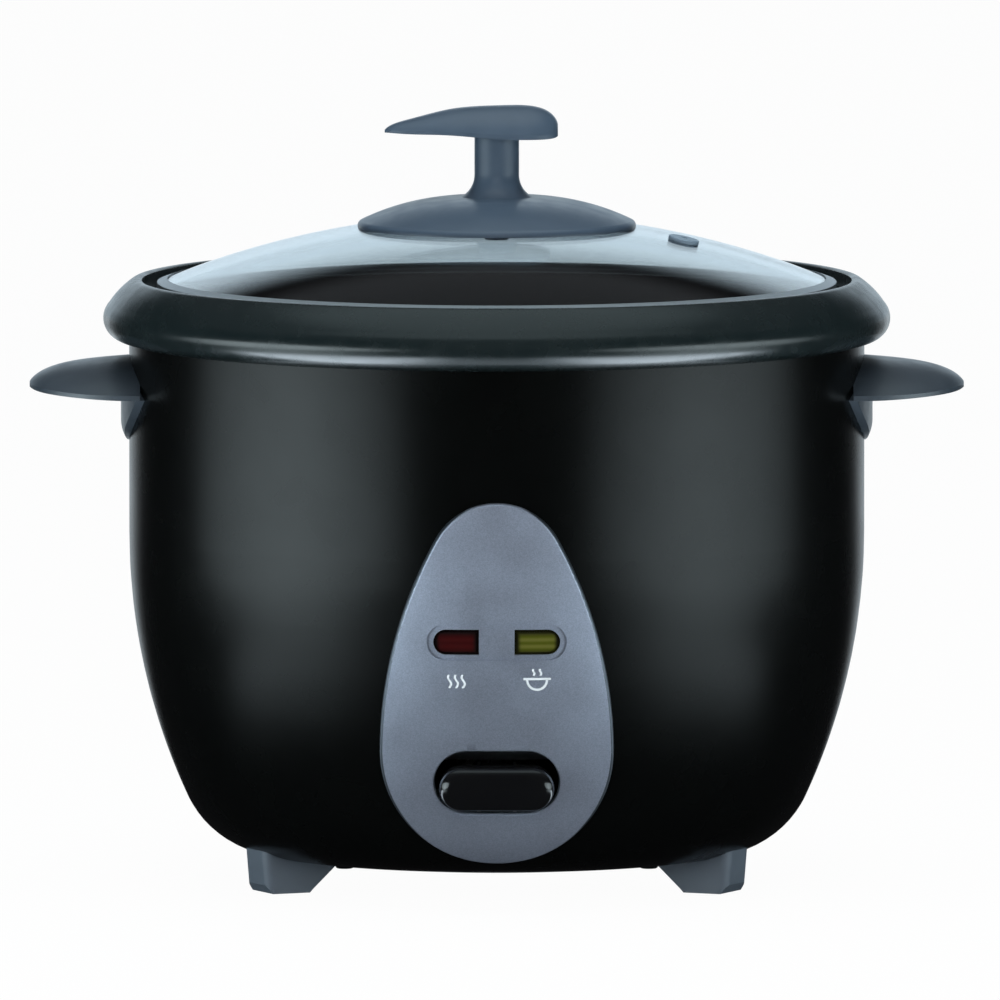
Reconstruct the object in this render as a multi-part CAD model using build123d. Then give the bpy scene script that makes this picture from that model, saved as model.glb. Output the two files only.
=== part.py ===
"""A drum-shaped rice cooker with a glass lid, built as its real pieces.

Millimetres, +Z up, origin on the worktop under the middle of the body.
The control panel faces -Y, the two carrying handles point along X, and the power inlet faces +Y.
The body is sized outwards from the cooking pot, and upwards from the feet.
"""
from build123d import *
from math import asin, atan2, cos, degrees, pi, radians, sin, sqrt
import os

# Cooking pot
POT_RADIUS = 111.5
POT_WALL = 1.5
POT_DEPTH = 126.2           # underside of the bottom to underside of the rim
POT_CORNER = 28.0
POT_RIM_WIDTH = 8.1
POT_RIM_THICKNESS = 1.2
SEAT_GAP = 0.2              # air between loose pieces that rest on each other

# Heights of the base, from the worktop upwards
FOOT_HEIGHT = 10.5          # worktop to the underside of the shell
BASE_ROOM = 40.9            # underside of the shell to the underside of the liner floor
PLATE_STANDOFF = 8.5        # liner floor to the underside of the heating plate
PLATE_THICKNESS = 12.3

# Liner and shell
LINER_GAP = 2.1             # pot to liner
LINER_WALL = 0.6
LINER_CORNER = 12.0
LINER_OPENING = 24.0        # radius of the hole round the sensor
AIR_GAP = 9.8               # liner to the inside of the shell
SHELL_WALL = 1.0
KNEE_HEIGHT = 120.0         # where the straight wall turns into the bowl
BOWL_RADIUS = 215.0         # the bowl's large side curve
CORNER_HEIGHT = 30.0        # where the side curve meets the tight bottom curve
BASE_OPENING = 52.0         # radius of the hole that the base plate closes

# Top ring
RING_OVERHANG = 8.8         # crest beyond the shell
RING_SKIRT = 7.6            # skirt below the shell's top edge
RING_RISE = 13.5            # lip above the shell's top edge
RING_LEDGE_DROP = 7.0       # lip down to the ledge that carries the pot
RING_LEDGE = 2.0            # thickness of that ledge
RING_FIT = 0.2
RING_LEDGE_INSET = 0.8      # ledge inside the liner
RING_SKIRT_GAP = 0.3        # inner skirt outside the liner
RING_SKIRT_WALL = 1.5
RING_SKIRT_DEPTH = 9.0
RING_COLLAR_WALL = 0.8      # collar inside the shell
RING_CHIN = (4.5, 1.1)      # chin inside the crest, and above the skirt's edge
RING_CREST_LIFT = 0.2       # crest above the shell's top edge
RING_CHEEK = (1.9, 5.1)     # cheek inside the crest, and above the shell's top edge
RING_BROW = (3.0, 3.7)      # brow outside the shell, and below the lip
RING_LIP_OUTER = (0.9, 0.54)  # the lip's round top: inside the shell, and below the lip's top
RING_LIP_MIDDLE = 2.6
RING_LIP_INNER = (4.3, 0.54)
RING_STEP = 4.6             # foot of the lip inside the shell

# Lid
LID_OVERLAP = 3.5           # glass beyond the pot's outside
GLASS_RADIUS = 300.0
GLASS_THICKNESS = 3.0
BAND_WIDTH = 3.0
BAND_SHEET = 0.5
BAND_FIT = 0.02             # air between the band and the glass
VENT_X = 63.4
VENT_Y = -16.3
VENT_RADIUS = 5.25
VENT_NECK = 4.0
VENT_HOLE = 1.2
VENT_RISE = 1.2
VENT_EDGE = 0.5
VENT_UNDER = 1.5
SCREW_EASE = 0.5            # hole in the glass round the knob's screw

# Lid knob
KNOB_BASE_RADIUS = 47.3
KNOB_BASE_EDGE = 0.6
KNOB_BRIM = (1.2, 1.75)     # where the dome turns down to its edge, inside and above the edge
KNOB_BRIM_MIDDLE = (0.33, 1.06)
KNOB_SHOULDER_RADIUS = 12.0
KNOB_SHOULDER_RISE = 6.6    # shoulder above the top of the glass
KNOB_STEM_RADIUS = 7.6
KNOB_STEM_FILLET = 7.5
KNOB_STEM_RISE = 26.8       # underside of the grip above the top of the glass
KNOB_SOCKET = 4.0           # stem inside the grip
KNOB_WAIST = (1.3, 0.61)    # fillet's middle outside the stem, and its share of the fillet below the neck
KNOB_CROWN = (0.4, 1.9)     # crown's middle off the straight line from shoulder to brim
KNOB_BOSS_INSET = 2.0       # boss inside the shoulder
KNOB_RIM_WIDTH = 9.0        # solid rim round the hollow
KNOB_WALL = 2.5
KNOB_SCREW_RADIUS = 2.5
KNOB_SCREW_REACH = 20.0
KNOB_WASHER_RADIUS = 10.0
KNOB_WASHER_THICKNESS = 1.2
KNOB_GASKET_RADIUS = 11.0
KNOB_GASKET_THICKNESS = 1.5
KNOB_SLICES = (             # x, half width, lift of the underside, straight edge, top above the underside
    (-38.1, 1.4, 1.7, 0.4, 2.6),
    (-35.5, 3.8, 1.7, 0.8, 4.4),
    (-26.0, 7.8, 1.5, 1.2, 7.2),
    (-12.0, 11.2, 1.2, 1.5, 10.2),
    (4.0, 12.5, 0.1, 1.6, 11.0),
    (14.0, 11.3, 0.0, 1.5, 10.3),
    (19.0, 8.0, 0.2, 1.2, 7.7),
    (20.8, 4.4, 0.9, 0.8, 4.4),
)

# Carrying handles
HANDLE_REACH = 33.8         # tip beyond the shell
HANDLE_HALF_WIDTH = 37.0
HANDLE_TOP_DROP = 12.3      # shell's top edge down to the root of the handle
HANDLE_THICKNESS = 12.8     # at the root
HANDLE_EDGE = 1.5
HANDLE_TIP_LIFT = 2.0       # underside rises towards the tip
SHIELD_DROP = 16.4          # pointed tab below the handle
SHIELD_PROUD = 2.8
SHIELD_TIP = 0.4            # the tab's thickness at its point
SHIELD_TAPER = 7.0          # height over which the tab thins to its point
HANDLE_SCREW_SPREAD = 15.0
HANDLE_SCREW_RISE = 0.42    # screws above the handle's underside, as a share of its thickness
HANDLE_SCREW_REACH = 12.0
HANDLE_SINK = 4.0           # the grip starts this far inside the wall, and is cut back to it
HANDLE_SLICES = (           # way out to the tip, width, lift of the underside, top: all as shares
    (0.0, 1.0, 0.0, 1.0),
    (0.45, 0.91, 0.1, 0.88),
    (0.80, 0.62, 0.45, 0.67),
    (0.95, 0.31, 0.7, 0.44),
    (1.0, 0.10, 1.0, 0.28),
)
SHIELD_TOP_SHARE = 0.8      # the tab's top edge, as a share of the handle's width
SHIELD_WAIST = (0.45, 0.72) # a point of the tab's curve: share of the half width, share of the drop
HEAD_EASE = 0.06            # a flat screw head stands this deep off the curved wall

# Feet
FOOT_ANGLE = 25.0           # from the X axis
FOOT_OUTER = 91.6           # outer face at the shoulder
FOOT_LEAN = 1.7             # outer face set back at its lower end
FOOT_TOE = (2.4, 3.0)       # bevel below the outer face
FOOT_LENGTH = 29.2
FOOT_HALF_WIDTH = 8.5
FOOT_RAKE = 10.0            # sloped inner end
FOOT_EDGE = 1.5
FOOT_SCREW_CIRCLE = 81.5
FOOT_SCREW_HEAD = 5.0       # seat of the screw's head above the worktop
FOOT_SCREW_BITE = 5.0       # screw inside the shell
FOOT_SHOULDER = 12.0        # foot above the underside of the shell, cut back to its curve
FOOT_COUNTERBORE = 0.6      # round the screw's head

# Control panel
PANEL_PROUD = 3.0
PANEL_BOTTOM = 15.7
PANEL_TOP = 140.4
PANEL_HALF_WIDTH = 39.5
PANEL_SIDE_RADIUS = 151.0
PANEL_EDGE = 1.4
PANEL_EDGE_REACH = 0.4      # how near the panel's face an edge is to be rounded
PEG_POINTS = ((0.0, 126.0), (-22.0, 28.0), (22.0, 28.0))
PEG_RADIUS = 2.5
PEG_LENGTH = 4.0            # behind the shell
NUT_RADIUS = 5.5
NUT_THICKNESS = 0.8
NUT_EASE = 0.05
LENS_HEIGHT = 93.3
LENS_HALF_HEIGHT = 4.3
RECESS_HALF_HEIGHT = 6.1
RECESS_END = 23.6
RECESS_DEPTH = 0.8
LENS_SINK = 1.0             # lens below the floor of the recess
LENS_MARGIN = 0.9           # air round the front of a lens
LENS_SPAN = (6.0, 21.4)     # inner and outer end of each lens, from the middle
LAMP_RADIUS = 2.2
LAMP_HALF_LENGTH = 5.5
LAMP_GAP = 0.6              # lens to lamp
LAMP_HOLDER_CLEARANCE = 1.0 # holder to liner
LAMP_HOLDER_MARGIN = 2.5

# Lever and its opening
LEVER_OPENING_HALF_WIDTH = 20.9
LEVER_OPENING_HALF_HEIGHT = 10.8
LEVER_OPENING_HEIGHT = 44.9
LEVER_OPENING_EDGE = 0.8
PADDLE_HEIGHT = 43.0
PADDLE_HALF_WIDTH = 19.45
PADDLE_HALF_HEIGHT = 7.65
PADDLE_STAND = 1.3          # back of the key outside the wall
PADDLE_DEPTH = 8.5
PADDLE_EDGE = 4.2
ARM_TOP = 41.0
ARM_THICKNESS = 1.2
ARM_HALF_WIDTH = 5.0
ARM_TAIL = 7.0              # arm behind the cooker's axis
ARM_SOCKET = 5.0            # arm inside the paddle
FORK_HALF_WIDTH = 2.5
PIVOT_INSET = 69.0          # pivot inside the body's outside
PIVOT_HEIGHT = 42.0
PIVOT_RADIUS = 1.5
HUB_RADIUS = 3.2
RUNNING_FIT = 0.08
BRACKET_SHEET = 1.2
BRACKET_GAP = 0.5
BRACKET_TOE = 18.0          # length on the shell's floor
BRACKET_HEEL = 1.0          # behind the shell's base opening
BRACKET_EAR = (5.5, 3.0, 4.0)   # ear round the pivot: half width below, half width above, height above
PIN_END = 0.8               # pivot pin beyond the bracket

# Micro switch
SWITCH_LENGTH = 27.8
SWITCH_HEIGHT = 15.9
SWITCH_HALF_WIDTH = 5.15
SWITCH_INSET = 49.0         # middle of the switch inside the body's outside
SWITCH_EDGE = 1.0
SWITCH_SCREW_RADIUS = 1.2
SWITCH_SCREW_PLACE = (4.0, 3.0)     # from the switch's end, and above its underside
SWITCH_SCREW_END = 1.0              # beyond the bracket
SWITCH_SLOPE = (1.0, 2.0)           # bracket past the switch's rear end, and short of its front end
TERMINAL_INSET = 5.0
TERMINAL_LENGTH = 6.0
TERMINAL_ROOT = 1.0
TERMINAL_HALF_WIDTH = 3.0
TERMINAL_HALF_THICKNESS = 0.4
SWITCH_GAP = 1.9            # arm above the switch body
PLUNGER_RADIUS = 1.6
PLUNGER_DEPTH = 5.0
PLUNGER_WELL = 0.5          # room under the plunger

# Sensor and magnet
BRIDGE_HALF_LENGTH = 47.0
BRIDGE_HALF_WIDTH = 16.0
BRIDGE_SHEET = 1.2
BRIDGE_TOE = 11.0
BRIDGE_SCREW_INSET = 6.0
BRIDGE_SCREW_SPREAD = 8.0
BRIDGE_SCREW_BITE = 4.0
GUIDE_RADIUS = 9.9
GUIDE_WALL = 1.0
GUIDE_HEIGHT = 6.6
GUIDE_FLANGE = 16.0
SENSOR_RADIUS = 13.0
SENSOR_WALL = 0.8
SENSOR_SKIRT = 16.8
SENSOR_LIP = 2.5
SENSOR_CLEARANCE = 1.5
FERRITE_RADIUS = 9.0
FERRITE_HEIGHT = 5.1
CORE_HOLE = 4.5
MAGNET_RADIUS = 8.0
MAGNET_HEIGHT = 6.2
MAGNET_GAP = 0.1
HOLDER_DISC = 1.2
ROD_RADIUS = 2.0
ROD_END = 34.0
COLLAR_RADIUS = 4.5
COLLAR_HEIGHT = 1.5
LOST_MOTION = 2.6           # collar above the arm
SENSOR_SPRING_RADIUS = 10.95
SENSOR_SPRING_WIRE = 1.2
SENSOR_SPRING_TURNS = 5
MAGNET_SPRING_RADIUS = 3.6
MAGNET_SPRING_WIRE = 0.7
MAGNET_SPRING_TURNS = 5
SPRING_EASE = 0.05          # wire to each seat

# Heating plate
PLATE_RADIUS = 86.0
ELEMENT_CIRCLE = 60.0
ELEMENT_RADIUS = 4.0
ELEMENT_DEPTH = 1.5         # middle of the element above the plate's underside
ELEMENT_SWEEP = 300.0
ELEMENT_PIN_RADIUS = 3.0
ELEMENT_PIN_END = 44.0
ELEMENT_HOLE = 6.0
PLATE_EDGE = 3.0
LEG_ANGLES = (90, 210, 330)
LEG_CIRCLE = 78.0
LEG_RADIUS = 6.0
PLATE_SCREW_RADIUS = 2.0
PLATE_SCREW_REACH = 9.0
FUSE_RADIUS = 2.2
FUSE_LENGTH = 13.0
FUSE_CIRCLE = 38.0
CLIP_SHEET = 0.6
CLIP_HALF_WIDTH = 3.0
CLIP_EAR = 5.0
CLIP_FIT = 0.2

# Base plate and power inlet
BASE_RADIUS = 62.0
BASE_SHEET = 1.5
BASE_SCREW_CIRCLE = 57.0
BASE_SCREW_ANGLES = (25, 155, 205, 335)
BASE_SCREW_BITE = 4.0
VENT_SLOTS = 12
VENT_SLOT_CIRCLE = 30.0
VENT_SLOT_LENGTH = 14.0
VENT_SLOT_WIDTH = 3.0
INLET_HEIGHT = 38.0
INLET_HALF_WIDTH = 14.0
INLET_HALF_HEIGHT = 10.5
INLET_FLANGE_HALF_WIDTH = 24.0
INLET_FLANGE_HALF_HEIGHT = 14.0
INLET_PROUD = 3.0
INLET_WALL = 2.0
INLET_DEPTH = 22.0
INLET_BACK = 4.0
INLET_CHAMFER = 4.5
INLET_CORNER = 4.0
INLET_SCREW_BITE = 6.0
BLADE_WIDTH = 2.0
BLADE_HEIGHT = 4.0
BLADE_RECESS = 6.0
BLADE_TAIL = 7.0
BLADE_PLACES = ((-7.0, -2.0), (0.0, 3.0), (7.0, -2.0))

# Fasteners and leads
SCREW_RADIUS = 1.75
SCREW_HEAD_RADIUS = 3.2
SCREW_HEAD_HEIGHT = 2.2
SCREW_HEAD_ROUND = 0.45     # share of the head's height
LEAD_RADIUS = 1.2
LEAD_BEND = 2.5
LEAD_RUN = 12.0             # straight run out of a terminal
LEAD_SPREAD = 20.0          # leads beside the middle
LEAD_LEVEL = 20.0
LEAD_INSET = 50.0           # leads inside the body's outside
LEAD_ANGLES = (233.0, 125.0)    # where the heater lead and the return lead pass round the bridge
LEAD_TOUCH = 0.1            # lead to terminal
LEAD_LIFT = 4.0             # lead above the element's end

# Levels and radii that follow from the sizes above
SHELL_BOTTOM = FOOT_HEIGHT
SHELL_FLOOR = SHELL_BOTTOM + SHELL_WALL
LINER_UNDERSIDE = SHELL_BOTTOM + BASE_ROOM
LINER_FLOOR = LINER_UNDERSIDE + LINER_WALL
PLATE_UNDERSIDE = LINER_FLOOR + PLATE_STANDOFF
PLATE_TOP = PLATE_UNDERSIDE + PLATE_THICKNESS
POT_BOTTOM = PLATE_TOP + SEAT_GAP
POT_RIM = POT_BOTTOM + POT_DEPTH
POT_TOP = POT_RIM + POT_RIM_THICKNESS
LEDGE_TOP = POT_RIM - SEAT_GAP
LIP_TOP = LEDGE_TOP + RING_LEDGE_DROP
SHELL_TOP = LIP_TOP - RING_RISE
LINER_INNER = POT_RADIUS + LINER_GAP
LINER_OUTER = LINER_INNER + LINER_WALL
BODY_RADIUS = LINER_OUTER + AIR_GAP + SHELL_WALL
LID_RADIUS = POT_RADIUS + LID_OVERLAP
PIVOT_REACH = BODY_RADIUS - PIVOT_INSET
SWITCH_CENTRE = BODY_RADIUS - SWITCH_INSET
ARM_UNDERSIDE = ARM_TOP - ARM_THICKNESS
BRIDGE_TOP = LINER_UNDERSIDE
SENSOR_TOP = PLATE_TOP
SENSOR_CEILING = SENSOR_TOP - SENSOR_WALL
FERRITE_UNDERSIDE = SENSOR_CEILING - FERRITE_HEIGHT
MAGNET_TOP = FERRITE_UNDERSIDE - MAGNET_GAP
HOLDER_TOP = MAGNET_TOP - MAGNET_HEIGHT

# The bowl's two tangent curves
FLANK_ANGLE = asin((KNEE_HEIGHT - CORNER_HEIGHT) / BOWL_RADIUS)
CORNER_RADIUS = (CORNER_HEIGHT - SHELL_BOTTOM) / (1 - sin(FLANK_ANGLE))
FLANK_CENTRE = (BODY_RADIUS - BOWL_RADIUS, KNEE_HEIGHT)
CORNER_CENTRE = (
    FLANK_CENTRE[0] + (BOWL_RADIUS - CORNER_RADIUS) * cos(FLANK_ANGLE),
    FLANK_CENTRE[1] - (BOWL_RADIUS - CORNER_RADIUS) * sin(FLANK_ANGLE),
)

# The glass dome, set so that its rim stands on the pot's rim
BAND_UNDERSIDE = POT_TOP + SEAT_GAP
GLASS_INNER_RADIUS = GLASS_RADIUS - GLASS_THICKNESS
GLASS_CENTRE = BAND_UNDERSIDE + BAND_SHEET - sqrt(GLASS_INNER_RADIUS**2 - LID_RADIUS**2)
GLASS_TOP = GLASS_CENTRE + GLASS_RADIUS

UPRIGHT = (Align.CENTER, Align.CENTER, Align.MIN)
CUT = 1.0                   # how far a cutting tool passes beyond the face that it opens


def rz(radius, height):
    """A point of a turned outline."""
    return Vector(radius, 0, height)


def outline(*curves):
    """A flat face from curves that close on each other."""
    return Face(Wire([edge for curve in curves for edge in curve.edges()]))


def turned(*curves):
    """A solid turned about the cooker's axis."""
    return revolve(outline(*curves), Axis.Z)


def rod(radius, low, high):
    """An upright cylinder on the axis."""
    return Pos(0, 0, low) * Cylinder(radius, high - low, align=UPRIGHT)


def pin(radius, start, end):
    """A cylinder from one point to another."""
    axis = Vector(*end) - Vector(*start)
    return Plane(origin=start, z_dir=axis) * Cylinder(radius, axis.length, align=UPRIGHT)


def block(x_span, y_span, z_span):
    """A box between pairs of faces."""
    spans = (x_span, y_span, z_span)
    centre = [(low + high) / 2 for low, high in spans]
    return Pos(*centre) * Box(*[high - low for low, high in spans])


def screw(seat, reach, radius=SCREW_RADIUS):
    """A pan-head screw: its head sits below the seat plane, its shank runs along the plane's normal."""
    head_radius = SCREW_HEAD_RADIUS * radius / SCREW_RADIUS
    head_height = SCREW_HEAD_HEIGHT * radius / SCREW_RADIUS
    head = Pos(0, 0, -head_height) * Cylinder(head_radius, head_height, align=UPRIGHT)
    head = fillet(head.edges().group_by(Axis.Z)[0], head_height * SCREW_HEAD_ROUND)
    return seat * (head + Cylinder(radius, reach, align=UPRIGHT))


def screw_hole(seat, reach, radius=SCREW_RADIUS):
    """What a screw's shank takes out of the pieces that it passes through."""
    return seat * Pos(0, 0, -CUT) * Cylinder(radius, reach + CUT, align=UPRIGHT)


def on_arc(centre, radius, angle):
    """A point of a turned outline, at an angle below the horizontal."""
    return rz(centre[0] + radius * cos(angle), centre[1] - radius * sin(angle))


def bowl(offset, top):
    """The body's outer form, grown by an offset and solid up to a height."""
    flank = BOWL_RADIUS + offset
    corner = CORNER_RADIUS + offset
    knee = on_arc(FLANK_CENTRE, flank, 0)
    turn = on_arc(FLANK_CENTRE, flank, FLANK_ANGLE)
    heel = on_arc(CORNER_CENTRE, corner, pi / 2)
    return turned(
        Polyline(rz(0, heel.Z), rz(0, top), rz(knee.X, top), knee),
        ThreePointArc(knee, on_arc(FLANK_CENTRE, flank, FLANK_ANGLE / 2), turn),
        ThreePointArc(turn, on_arc(CORNER_CENTRE, corner, (FLANK_ANGLE + pi / 2) / 2), heel),
        Line(heel, rz(0, heel.Z)),
    )


def bowl_tilt(height):
    """How far the wall leans under at a height, as an angle."""
    if height >= KNEE_HEIGHT:
        return 0.0
    if height >= CORNER_HEIGHT:
        return asin((KNEE_HEIGHT - height) / BOWL_RADIUS)
    return asin((CORNER_CENTRE[1] - height) / CORNER_RADIUS)


def bowl_radius(height):
    """Radius of the body's outside at a height."""
    if height >= KNEE_HEIGHT:
        return BODY_RADIUS
    if height >= CORNER_HEIGHT:
        return FLANK_CENTRE[0] + BOWL_RADIUS * cos(bowl_tilt(height))
    return CORNER_CENTRE[0] + CORNER_RADIUS * cos(bowl_tilt(height))


def wall_plane(height, azimuth, inset=0.0):
    """A plane on the body's wall, facing outwards. Azimuth is from +X towards +Y, in degrees."""
    tilt = bowl_tilt(height)
    spoke = Vector(cos(radians(azimuth)), sin(radians(azimuth)), 0)
    normal = spoke * cos(tilt) - Vector(0, 0, sin(tilt))
    return Plane(origin=spoke * bowl_radius(height) + Vector(0, 0, height) - normal * inset, z_dir=normal)


def seat_at(circle, angle, height):
    """A level plane at a place round the axis, for a screw that points up."""
    return Plane(origin=(circle * cos(radians(angle)), circle * sin(radians(angle)), height))


def front_azimuth(x, height):
    """Azimuth of the point of the front wall at this x and height."""
    return -90 + degrees(asin(x / bowl_radius(height)))


def front_prism(face):
    """A front-view outline, carried from the middle of the cooker out through the front wall."""
    return extrude(face, amount=BODY_RADIUS + 4 * PANEL_PROUD, dir=(0, -1, 0))


def wall_layer(inner, outer):
    """The layer between two offsets of the body's wall."""
    return bowl(outer, SHELL_TOP) - bowl(inner, SHELL_TOP + CUT)


def egg_face():
    """The control panel's outline: a half circle below, long side curves, a small round top."""
    widest = PANEL_BOTTOM + PANEL_HALF_WIDTH
    rise = PANEL_TOP - widest
    side_centre = PANEL_HALF_WIDTH - PANEL_SIDE_RADIUS
    top_radius = (PANEL_SIDE_RADIUS**2 - rise**2 - side_centre**2) / (2 * (PANEL_SIDE_RADIUS - rise))
    top_centre = PANEL_TOP - top_radius
    lean = atan2(top_centre - widest, -side_centre)

    def side(angle):
        return rz(side_centre + PANEL_SIDE_RADIUS * cos(angle), widest + PANEL_SIDE_RADIUS * sin(angle))

    def across(point):
        return rz(-point.X, point.Z)

    foot, middle, head = side(0), side(lean / 2), side(lean)
    return outline(
        ThreePointArc(across(foot), rz(0, PANEL_BOTTOM), foot),
        ThreePointArc(foot, middle, head),
        ThreePointArc(head, rz(0, PANEL_TOP), across(head)),
        ThreePointArc(across(head), across(middle), across(foot)),
    )


def stadium_face(half_width, half_height, height):
    """A bar with round ends, seen from the front."""
    straight = half_width - half_height
    return outline(
        Line(rz(-straight, height - half_height), rz(straight, height - half_height)),
        ThreePointArc(
            rz(straight, height - half_height), rz(half_width, height), rz(straight, height + half_height)),
        Line(rz(straight, height + half_height), rz(-straight, height + half_height)),
        ThreePointArc(
            rz(-straight, height + half_height),
            rz(-half_width, height),
            rz(-straight, height - half_height)),
    )


def lens_face(side, margin=0.0):
    """A lens window: square towards the middle, round at its outer end. A margin draws its edges in."""
    inner, outer = side * (LENS_SPAN[0] + margin), side * (LENS_SPAN[1] - margin)
    half_height = LENS_HALF_HEIGHT - margin
    straight = outer - side * half_height
    low, high = LENS_HEIGHT - half_height, LENS_HEIGHT + half_height
    return outline(
        Polyline(rz(straight, high), rz(inner, high), rz(inner, low), rz(straight, low)),
        ThreePointArc(rz(straight, low), rz(outer, LENS_HEIGHT), rz(straight, high)),
    )


def d_section(x, half_width, low, edge, high):
    """A slice across X: flat underside, short straight edges, arched top."""
    return outline(
        Polyline(
            Vector(x, -half_width, low + edge), Vector(x, -half_width, low),
            Vector(x, half_width, low), Vector(x, half_width, low + edge)),
        ThreePointArc(
            Vector(x, half_width, low + edge), Vector(x, 0, high), Vector(x, -half_width, low + edge)),
    )


# Places that several pieces share
PADDLE_BACK = bowl_radius(PADDLE_HEIGHT) + PADDLE_STAND
PEG_PLANES = [wall_plane(z, front_azimuth(x, z)) for x, z in PEG_POINTS]
FOOT_ANGLES = {
    "foot_front_right": -FOOT_ANGLE,
    "foot_rear_right": FOOT_ANGLE,
    "foot_rear_left": 180 - FOOT_ANGLE,
    "foot_front_left": 180 + FOOT_ANGLE,
}
FOOT_SEATS = [seat_at(FOOT_SCREW_CIRCLE, angle, FOOT_SCREW_HEAD) for angle in FOOT_ANGLES.values()]
FOOT_SCREW_REACH = FOOT_HEIGHT + SHELL_WALL + FOOT_SCREW_BITE - FOOT_SCREW_HEAD
BASE_SEATS = [seat_at(BASE_SCREW_CIRCLE, angle, SHELL_BOTTOM - BASE_SHEET) for angle in BASE_SCREW_ANGLES]
BASE_SCREW_REACH = BASE_SHEET + SHELL_WALL + BASE_SCREW_BITE
HANDLE_ROOT_TOP = SHELL_TOP - HANDLE_TOP_DROP
HANDLE_ROOT_LOW = HANDLE_ROOT_TOP - HANDLE_THICKNESS
HANDLE_SCREW_HEIGHT = HANDLE_ROOT_LOW + HANDLE_THICKNESS * HANDLE_SCREW_RISE
HANDLE_SCREW_ANGLE = degrees(asin(HANDLE_SCREW_SPREAD / BODY_RADIUS))
HEAD_SEAT = SHELL_WALL + HEAD_EASE
HANDLE_SEATS = [
    wall_plane(HANDLE_SCREW_HEIGHT, side + sign * HANDLE_SCREW_ANGLE, HEAD_SEAT)
    for side in (0, 180) for sign in (-1, 1)
]
LEG_SEATS = [seat_at(LEG_CIRCLE, angle, LINER_UNDERSIDE) for angle in LEG_ANGLES]
BRIDGE_SEATS = [
    Plane(origin=(x, y, SHELL_BOTTOM - BASE_SHEET))
    for x in (-BRIDGE_HALF_LENGTH + BRIDGE_SCREW_INSET, BRIDGE_HALF_LENGTH - BRIDGE_SCREW_INSET)
    for y in (-BRIDGE_SCREW_SPREAD, BRIDGE_SCREW_SPREAD)
]
BRIDGE_SCREW_REACH = BASE_SHEET + BRIDGE_SHEET + BRIDGE_SCREW_BITE
ELEMENT_ENDS = [180 - (360 - ELEMENT_SWEEP) / 2, 180 + (360 - ELEMENT_SWEEP) / 2]
INLET_FACE = bowl_radius(INLET_HEIGHT + INLET_FLANGE_HALF_HEIGHT) + INLET_PROUD
INLET_SCREW_X = (INLET_HALF_WIDTH + INLET_FLANGE_HALF_WIDTH) / 2
INLET_SEATS = [
    Plane(origin=(x, INLET_FACE, INLET_HEIGHT), z_dir=(0, -1, 0)) for x in (-INLET_SCREW_X, INLET_SCREW_X)
]
INLET_SCREW_REACH = INLET_FACE - bowl_radius(INLET_HEIGHT) + SHELL_WALL + INLET_SCREW_BITE


def ring_at(places, radius, low, high):
    """Upright cylinders at several places round the axis, from (circle, angle) pairs."""
    rods = [Rot(0, 0, angle) * Pos(circle, 0, 0) * rod(radius, low, high) for circle, angle in places]
    return Part() + rods


def lever_opening():
    face = stadium_face(LEVER_OPENING_HALF_WIDTH, LEVER_OPENING_HALF_HEIGHT, LEVER_OPENING_HEIGHT)
    return front_prism(face)


def inlet_body_block():
    """The part of the inlet that passes through the shell."""
    return block(
        (-INLET_HALF_WIDTH, INLET_HALF_WIDTH),
        (INLET_FACE - INLET_DEPTH - INLET_BACK, INLET_FACE),
        (INLET_HEIGHT - INLET_HALF_HEIGHT, INLET_HEIGHT + INLET_HALF_HEIGHT),
    )


def outer_shell():
    shell = wall_layer(-SHELL_WALL, 0)
    shell -= rod(BASE_OPENING, SHELL_BOTTOM - CUT, SHELL_FLOOR + CUT)
    shell -= lever_opening()
    shell -= [front_prism(lens_face(side)) for side in (-1, 1)]
    shell -= [plane * Pos(0, 0, -2 * CUT) * Cylinder(PEG_RADIUS, 4 * CUT) for plane in PEG_PLANES]
    shell -= inlet_body_block()
    shell -= [screw_hole(seat, INLET_SCREW_REACH) for seat in INLET_SEATS]
    shell -= [screw_hole(seat, HANDLE_SCREW_REACH) for seat in HANDLE_SEATS]
    shell -= [screw_hole(seat, FOOT_SCREW_REACH) for seat in FOOT_SEATS]
    shell -= [screw_hole(seat, BASE_SCREW_REACH) for seat in BASE_SEATS]
    return shell


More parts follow.
